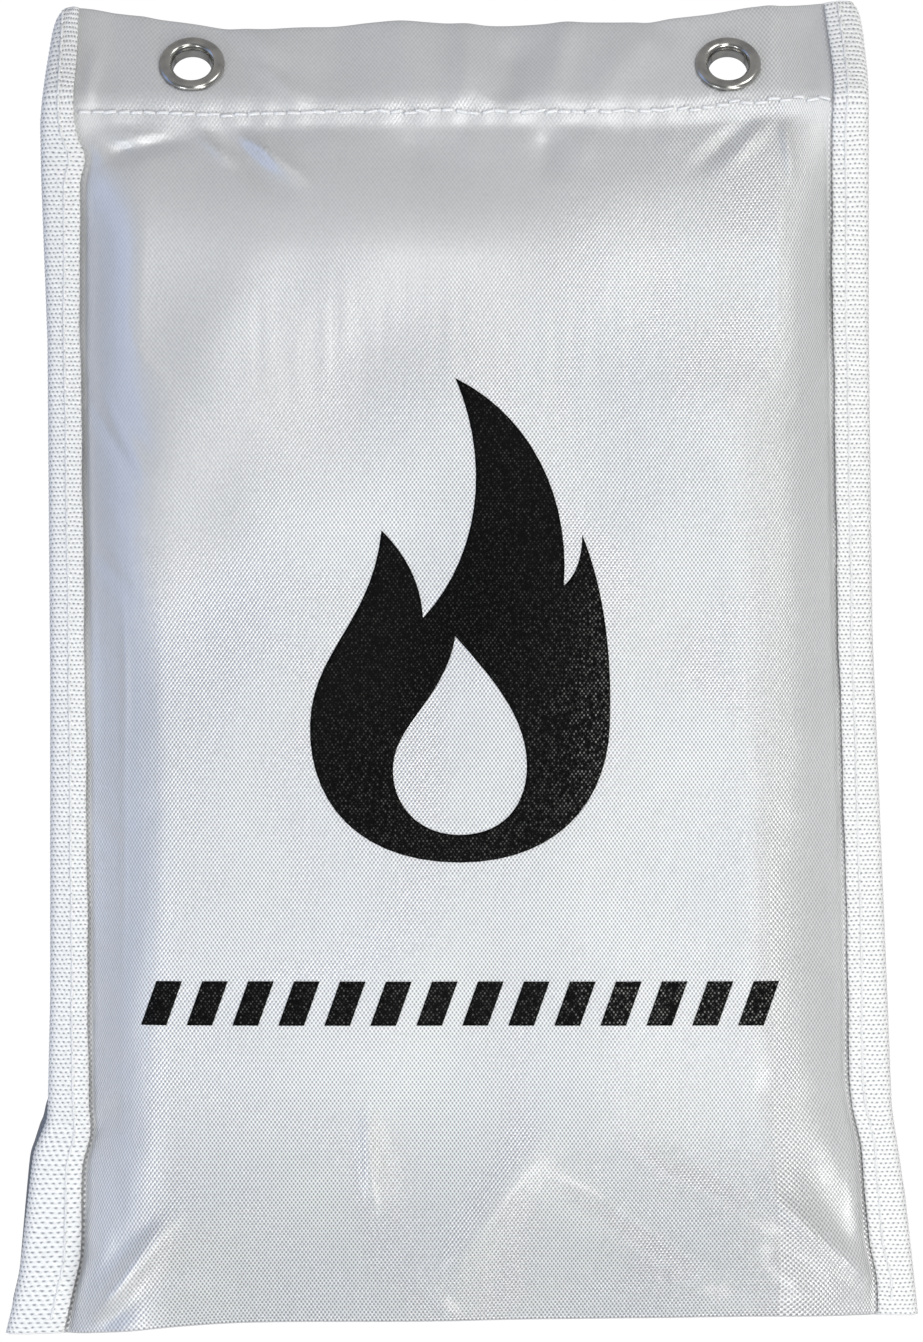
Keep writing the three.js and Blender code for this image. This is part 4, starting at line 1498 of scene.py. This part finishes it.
@dataclass(frozen=True)
class FoldedBlanket:
    """A one metre square blanket, folded in a zigzag across and then in a zigzag down."""

    form: PouchForm
    layers: int = 7
    legs: int = 4
    width: float = 142.6
    low: float = 8.6
    high: float = 245.0
    thickness: float = 21.4
    cloth: float = 0.40
    jitter: float = 0.9

    @property
    def pitch(self) -> float:
        """The distance from one layer to the next."""
        return self.thickness / (self.layers * self.legs)

    @staticmethod
    def _zigzag(leg: float, pitch: float, count: int, steps: int, bend_steps: int) -> tuple[np.ndarray, ...]:
        """A zigzag of straight legs joined by half turns.

        Returns:
            Its run, its place along the legs, its place across them, its direction, and its leg number.
        """
        radius = pitch / 2
        run, along, aside, heading, number = [], [], [], [], []
        start = 0.0
        for index in range(count):
            way = 1 if index % 2 == 0 else -1
            share = np.linspace(0, 1, steps)
            run.append(start + share * leg)
            along.append(way * (share - 0.5) * leg)
            aside.append(np.full(steps, (index - (count - 1) / 2) * pitch))
            heading.append(np.full(steps, 0.0 if way > 0 else math.pi))
            number.append(np.full(steps, float(index)))
            start += leg
            if index < count - 1:
                turn = np.linspace(0, math.pi, bend_steps + 2)[1:-1]
                run.append(start + turn * radius)
                along.append(way * (leg / 2 + radius * np.sin(turn)))
                aside.append((index - (count - 1) / 2) * pitch + radius * (1 - np.cos(turn)))
                heading.append(turn if way > 0 else math.pi - turn)
                number.append(index + turn / math.pi)
                start += math.pi * radius
        return tuple(np.concatenate(part) for part in (run, along, aside, heading, number))

    def made(self, glass: bpy.types.Material) -> bpy.types.Object:
        """Builds the blanket as one sheet."""
        package = self.pitch * self.layers
        reach = package / 2 + (package - self.pitch) / 2 + self.cloth / 2
        leg = self.high - self.low - 2 * reach
        wide = self.width - self.pitch - self.cloth
        u_run, u_x, u_off, _, u_layer = self._zigzag(wide, self.pitch, self.layers, 9, 5)
        v_run, v_up, v_back, v_turn, v_leg = self._zigzag(leg, package, self.legs, 40, 11)
        draw = np.random.default_rng(11)
        trim = draw.uniform(-self.jitter, 0.0, (self.layers + 1, self.legs + 1))
        layer_index = np.clip(np.round(u_layer + 0.5 * np.sign(u_x)), 0, self.layers).astype(int)
        leg_index = np.clip(np.round(v_leg), 0, self.legs).astype(int)
        pull = trim[layer_index[None, :], leg_index[:, None]] * np.abs(u_x / (self.width / 2))[None, :] ** 3
        x = u_x[None, :] + np.sign(u_x)[None, :] * pull
        off = np.broadcast_to(u_off[None, :], x.shape)
        turn = v_turn[:, None]
        free = smoothstep(np.cos(v_turn) ** 2, 0.6, 1.0)[:, None]
        wave = 0.11 * np.sin(x / 19.0 + v_up[:, None] / 23.0) * free
        y = v_back[:, None] - (off + wave) * np.cos(turn)
        z = (self.low + self.high) / 2 + v_up[:, None] + off * np.sin(turn)
        y = y * self.form.fill(x, z) / self.form.filled
        points = np.stack([x, y, z + 0 * x], -1)
        cut = np.stack(np.broadcast_arrays(u_run[None, :], v_run[:, None]), -1).reshape(-1, 2) * MM
        faces = grid_faces(*x.shape)
        piece = Piece("blanket_cloth", self.form.row(points.reshape(-1, 3)), faces, cut).made(glass)
        thickened(piece, self.cloth)
        finish_piece(piece, Body.BLANKET, "glass_fibre", "folded_blanket")
        return piece


class Grip(Enum):
    """The two halves of a hook-and-loop fastener."""

    HOOK = "hook"
    LOOP = "loop"


@dataclass(frozen=True)
class GripPatch:
    """A rectangle of hooks or loops, sewn on all round."""

    form: PouchForm
    side: Side
    grip: Grip
    corner: float = 1.2
    base_share: float = 0.45
    pitch: float = 1.25
    yarn: float = 0.075

    @property
    def node(self) -> str:
        """The solid that the patch stands for."""
        return f"{self.side.label}_{self.grip.value}_patch"

    def _base(self, low: np.ndarray, high: np.ndarray, fabric: bpy.types.Material) -> bpy.types.Object:
        """The patch's backing, a thin slab with rounded corners."""
        outline = []
        for quarter in range(4):
            cx = (high[0] if quarter in (0, 3) else low[0]) - self.corner * (1 if quarter in (0, 3) else -1)
            cz = (high[2] if quarter in (0, 1) else low[2]) - self.corner * (1 if quarter in (0, 1) else -1)
            for turn in np.linspace(0, 0.5 * math.pi, 6):
                angle = turn + 0.5 * math.pi * quarter
                outline.append((cx + self.corner * math.cos(angle), cz + self.corner * math.sin(angle)))
        count = len(outline)
        points = np.array([(x, y, z) for y in (low[1], high[1]) for x, z in outline])
        faces = [(i, (i + 1) % count, count + (i + 1) % count, count + i) for i in range(count)]
        faces += [tuple(reversed(range(count))), tuple(range(count, 2 * count))]
        name = f"{self.side.label}_{self.grip.value}_fabric"
        slab = Piece(name, self.form.row(points), faces, points[:, [0, 2]] * MM).made(fabric)
        bevel = slab.modifiers.new("Edge", "BEVEL")
        bevel.width, bevel.segments, bevel.limit_method = 0.08 * MM, 2, "ANGLE"
        return settled(slab)

    def made(self, fabric: bpy.types.Material, thread: bpy.types.Material) -> None:
        """Builds the backing, its pile of hooks or loops, and its stitching."""
        low, high = self.form.box(self.node)
        looped = self.grip is Grip.LOOP
        body = Body.POUCH if looped else self.side.tab
        way = 1 if looped else -1
        depth = high[1] - low[1]
        near, far = low.copy(), high.copy()
        if looped:
            far[1] = low[1] + depth * self.base_share
        else:
            near[1] = high[1] - depth * self.base_share
        root = far[1] if looped else near[1]
        base = finish_piece(self._base(near, far, fabric), body, "hook_and_loop", self.node)
        pile = Bundle(f"{self.side.label}_{self.grip.value}_pile", sides=5)
        draw = np.random.default_rng(23 if looped else 29)
        tall = depth * (1 - self.base_share) - self.yarn * 1.5
        wide = 0.42 if looped else 0.24
        turn = np.linspace(0, math.pi if looped else 1.35 * math.pi, 7)
        out = tall * (np.sin(turn) if looped else np.clip(np.sin(turn / 1.35), 0.35, 1))
        out[0] = -0.1
        stand = root + way * out
        for x in np.arange(low[0] + 2.4, high[0] - 2.2, self.pitch):
            for z in np.arange(low[2] + 2.4, high[2] - 2.2, self.pitch):
                angle = draw.uniform(0, 2 * math.pi) if looped else 0.5 * math.pi
                side = wide * (1 - np.cos(turn))
                path = np.stack([x + side * math.cos(angle), stand, z + side * math.sin(angle)], -1)
                pile.add(path, self.yarn, np.tile([math.sin(angle), 0.3, -math.cos(angle)], (7, 1)))
        piled = finish_piece(pile.made(self.form, fabric), body, "hook_and_loop")
        sewn = box_stitches(self.form, f"{self.node}_stitches", near, far, way, 1.1, thread, False)
        finish_piece(sewn, body, "sewing_thread")
        LOG.info("%s: %d yarns over %s", piled.name, len(pile.points), base.name)


def box_stitches(
    form: PouchForm,
    name: str,
    low: np.ndarray,
    high: np.ndarray,
    way: int,
    inset: float,
    thread: bpy.types.Material,
    crossed: bool,
) -> bpy.types.Object:
    """A rectangle of stitches on an upright face, with a cross inside it if wanted.

    Args:
        form: The pouch's shape.
        name: The piece's name.
        low: The lowest corner of what is sewn.
        high: Its highest corner.
        way: 1 if the stitches lie on its back face, or -1 on its front face.
        inset: How far the stitches lie inside its edges.
        thread: Their material.
        crossed: Whether there is a cross.

    Returns:
        The stitches.
    """
    left, right, base, top = low[0] + inset, high[0] - inset, low[2] + inset, high[2] - inset
    corners = [(left, base), (right, base), (right, top), (left, top), (left, base)]
    lines = list(zip(corners, corners[1:]))
    if crossed:
        lines += [((left, base), (right, top)), ((right, base), (left, top))]
    bundle = Bundle(name, sides=6)
    level = high[1] if way > 0 else low[1]
    for (ax, az), (bx, bz) in lines:
        count = max(2, round(math.hypot(bx - ax, bz - az) / 2.3))
        for index in range(count):
            share = (index + np.linspace(0.04, 0.96, 6)) / count
            y = level + way * (0.04 - stitch_dip(6, 0.22))
            path = np.stack([ax + (bx - ax) * share, y, az + (bz - az) * share], -1)
            bundle.add(path, 0.14, np.tile([0.0, float(way), 0.0], (6, 1)))
    return bundle.made(form, thread)


@dataclass(frozen=True)
class PullTab:
    """A webbing tape sewn to the blanket's back, bent round the back lip and tucked up behind the pouch."""

    form: PouchForm
    side: Side
    corner: float = 3.5
    columns: int = 13

    def made(self, webbing: bpy.types.Material, thread: bpy.types.Material) -> bpy.types.Object:
        """Builds the tape, bent round its hinge's pivot, and its stitching."""
        form, label = self.form, self.side.label
        root_low, root_high = form.box(f"{label}_tab_root")
        tab_low, tab_high = form.box(f"{label}_pull_tab")
        joint = next(j for j in frame["joints"] if j["name"] == f"{label}_tab_fold")
        pivot = np.array(joint["pos_m"]) / MM + form.origin
        middle = (root_low[0] + root_high[0]) / 2
        inner, outer = (root_low[1] + root_high[1]) / 2, (tab_low[1] + tab_high[1]) / 2
        radius = (outer - inner) / 2
        turn = np.linspace(0, math.pi, 20)
        down = np.linspace(root_high[2], pivot[2], 40)[:-1]
        up = np.linspace(pivot[2], tab_high[2], 56)[1:]
        y = np.concatenate([np.full(39, inner), pivot[1] - radius * np.cos(turn), np.full(55, outer)])
        z = np.concatenate([down, pivot[2] - radius * np.sin(turn), up])
        run = np.concatenate([[0], np.cumsum(np.hypot(np.diff(y), np.diff(z)))])
        left = np.minimum(run, run[-1] - run)
        short = self.corner - np.sqrt(np.maximum(0, self.corner**2 - np.maximum(0, self.corner - left) ** 2))
        half = (root_high[0] - root_low[0]) / 2 - short * (run > run[-1] / 2)
        across = np.linspace(-1, 1, self.columns)
        x = middle + half[:, None] * across[None, :]
        points = np.stack(np.broadcast_arrays(x, y[:, None], z[:, None]), -1)
        cut = np.stack(np.broadcast_arrays(x - middle, run[:, None]), -1).reshape(-1, 2) * MM
        faces = grid_faces(*x.shape)
        tape = Piece(f"{label}_tab_webbing", form.row(points.reshape(-1, 3)), faces, cut).made(webbing)
        thickened(tape, 0.9)
        tuple(form.row(np.array([middle, inner + 0.8, pivot[2]])))
        tuple(form.row(np.array([middle, outer - 0.8, pivot[2]])))
        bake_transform(tape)
        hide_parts(f"{label}_tab_root", f"{label}_pull_tab")
        root_low[2] = root_high[2] - 22.0
        sewn = box_stitches(form, f"{label}_tab_root_stitches", root_low, root_high, 1, 2.2, thread, True)
        finish_piece(sewn, Body.BLANKET, "sewing_thread")
        hook_low, hook_high = form.box(f"{label}_hook_patch")
        hook_low[1], hook_high[1] = tab_low[1], tab_high[1] - 0.05
        held = box_stitches(form, f"{label}_tab_end_stitches", hook_low, hook_high, 1, 1.1, thread, False)
        finish_piece(held, self.side.tab, "sewing_thread")
        return tape


@dataclass(frozen=True)
class Studio:
    """The camera, the lights, the pale floor and the white surroundings."""

    distance: float = 1.35
    sensor: float = 36.0
    view_height: float = 291.7391304
    centre: tuple[float, float] = (0.33, 141.5)
    floor_drop: float = 0.62

    def camera(self, form: PouchForm) -> None:
        """Points the camera straight at the front."""
        tall = self.view_height * MM
        data = bpy.data.cameras.new("camera")
        data.sensor_fit = "AUTO"
        data.sensor_width = self.sensor
        data.lens = self.sensor * self.distance / tall
        data.clip_start, data.clip_end = 0.01, 60
        camera = bpy.data.objects.new("camera", data)
        bpy.context.scene.collection.objects.link(camera)
        target = form.row(np.array([self.centre[0], -form.front_face, self.centre[1]]))
        camera.location = (target[0], target[1] - self.distance, target[2])
        camera.rotation_euler = (0.5 * math.pi, 0, 0)
        bpy.context.scene.camera = camera

    @staticmethod
    def _lamp(
        name: str, place: tuple, target: tuple, size: tuple[float, float], power: float, colour: Colour
    ) -> None:
        """Adds a soft rectangular light that faces a target."""
        data = bpy.data.lights.new(name, "AREA")
        data.shape = "RECTANGLE"
        data.size, data.size_y = size
        data.energy = power
        data.color = colour
        lamp = bpy.data.objects.new(name, data)
        bpy.context.scene.collection.objects.link(lamp)
        lamp.location = place
        lamp.rotation_euler = (Vector(target) - Vector(place)).to_track_quat("-Z", "Y").to_euler()

    def lights(self) -> None:
        """Lights the front from near the camera, the left slope cool and the right slope warm."""
        middle = (0.0, 0.0, -0.14)
        high, low_right, low_left = (0.05, 0.0, -0.02), (0.02, 0.0, -0.24), (-0.05, 0.0, -0.24)
        white, cool, warm = (1.0, 1.0, 0.98), (0.26, 0.46, 1.0), (1.0, 0.98, 0.92)
        self._lamp("key_window", (0.27, -1.05, -0.16), middle, (0.34, 0.95), 3.3, (1.0, 1.0, 0.985))
        self._lamp("cool_window", (-1.1, -0.35, 0.05), middle, (0.7, 0.9), 1.7, cool)
        self._lamp("warm_window", (1.1, -0.40, -0.10), middle, (0.7, 0.9), 0.1, warm)
        self._lamp("high_right_window", (0.30, -0.34, 0.20), high, (0.2, 0.2), 0.45, white)
        self._lamp("low_right_window", (0.40, -0.65, -0.50), low_right, (0.25, 0.15), 1.8, white)
        self._lamp("low_left_window", (-0.45, -0.60, -0.50), low_left, (0.25, 0.15), 1.2, (0.9, 0.95, 1.0))

    @staticmethod
    def _sky() -> bpy.types.World:
        """A soft sky that is bright overhead, and dim at the height of the object and below."""
        world = bpy.data.worlds.new("soft_light")
        world.use_nodes = True
        tree = world.node_tree
        place = tree.nodes.new("ShaderNodeTexCoord")
        parts = tree.nodes.new("ShaderNodeSeparateXYZ")
        ramp = tree.nodes.new("ShaderNodeValToRGB")
        spread = tree.nodes.new("ShaderNodeMapRange")
        spread.inputs["From Min"].default_value = -1.0
        tree.links.new(place.outputs["Generated"], parts.inputs[0])
        tree.links.new(parts.outputs["Z"], spread.inputs["Value"])
        tree.links.new(spread.outputs["Result"], ramp.inputs["Fac"])
        tree.links.new(ramp.outputs["Color"], tree.nodes["Background"].inputs["Color"])
        Board._set_stops(ramp.color_ramp, [(0.0, (0.34, 0.34, 0.35)), (0.42, (0.22, 0.225, 0.235)),
                                           (0.60, (0.37, 0.38, 0.40)), (0.8, (0.50, 0.50, 0.51)),
                                           (1.0, (0.42, 0.42, 0.43))])
        return world

    def surroundings(self) -> None:
        """Adds the sky light, the white backdrop all round and the floor."""
        scene = bpy.context.scene
        scene.world = self._sky()
        scene.view_settings.view_transform = "Standard"
        ball = bmesh.new()
        bmesh.ops.create_icosphere(ball, subdivisions=4, radius=12.0)
        self._stage_piece("white_backdrop", ball, self._backdrop_material())
        disc = bmesh.new()
        bmesh.ops.create_circle(disc, cap_ends=True, segments=96, radius=2.5)
        bmesh.ops.translate(disc, verts=disc.verts, vec=(0, 0, -self.floor_drop))
        self._stage_piece("pale_floor", disc, self._floor_material())
        backdrop = bpy.data.objects["white_backdrop"]
        backdrop.visible_diffuse = backdrop.visible_glossy = False
        backdrop.visible_transmission = backdrop.visible_shadow = False

    @staticmethod
    def _stage_piece(name: str, shape: bmesh.types.BMesh, material: bpy.types.Material) -> None:
        """Adds a piece of the stage, which isn't part of the object."""
        mesh = bpy.data.meshes.new(name)
        shape.to_mesh(mesh)
        shape.free()
        mesh.materials.append(material)
        obj = bpy.data.objects.new(name, mesh)
        bpy.context.scene.collection.objects.link(obj)

    @staticmethod
    def _backdrop_material() -> bpy.types.Material:
        """A plain white that lights nothing."""
        board = Board("backdrop_white")
        return board.dress(Base_Color=(0.0, 0.0, 0.0), Emission_Color=(1.0, 1.0, 1.0), Emission_Strength=1.0)

    @staticmethod
    def _floor_material() -> bpy.types.Material:
        """A pale matt floor."""
        board = Board("floor_pale")
        cloud = board.noise(3.0, 2.0)
        colour = board.mix(cloud, (0.80, 0.80, 0.80), (0.84, 0.84, 0.84))
        return board.dress(Base_Color=colour, Roughness=0.85)


def main() -> None:
    """Builds the pouch, what it holds and the studio."""
    logging.basicConfig(level=logging.INFO, format="%(name)s: %(message)s")
    form = PouchForm()
    studio = Studio()
    studio.camera(form)
    studio.surroundings()
    studio.lights()
    looks = Finishes.made()
    front = Panel(form, Face.FRONT).made(looks.cloth)
    Panel(form, Face.BACK, flat_columns=40, slope_columns=18, row_step=1.6).made(looks.cloth)
    printed = Print(form)
    flame, drop = printed.flame()
    printed.made("flame_print", [flame], [drop], front, looks.ink)
    printed.made("bar_print", printed.bar_outlines(), [], front, looks.ink)
    seam = HeaderSeam(form)
    for face in Face:
        seam.made(face, looks.thread)
    for side in Side:
        binding = Binding(form, side)
        binding.made(looks.tape)
        if side is Side.LEFT:
            binding.lining(looks.reverse)
        for face in Face:
            binding.stitched(face, looks.thread)
        EyeletSet(form, side).made(looks.nickel)
        PullTab(form, side).made(looks.webbing, looks.dark_thread)
        GripPatch(form, side, Grip.HOOK).made(looks.hooks, looks.dark_thread)
        GripPatch(form, side, Grip.LOOP).made(looks.loops, looks.dark_thread)
    FoldedBlanket(form).made(looks.glass)
    bpy.context.view_layer.update()
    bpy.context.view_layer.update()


if __name__ == "__main__":
    main()
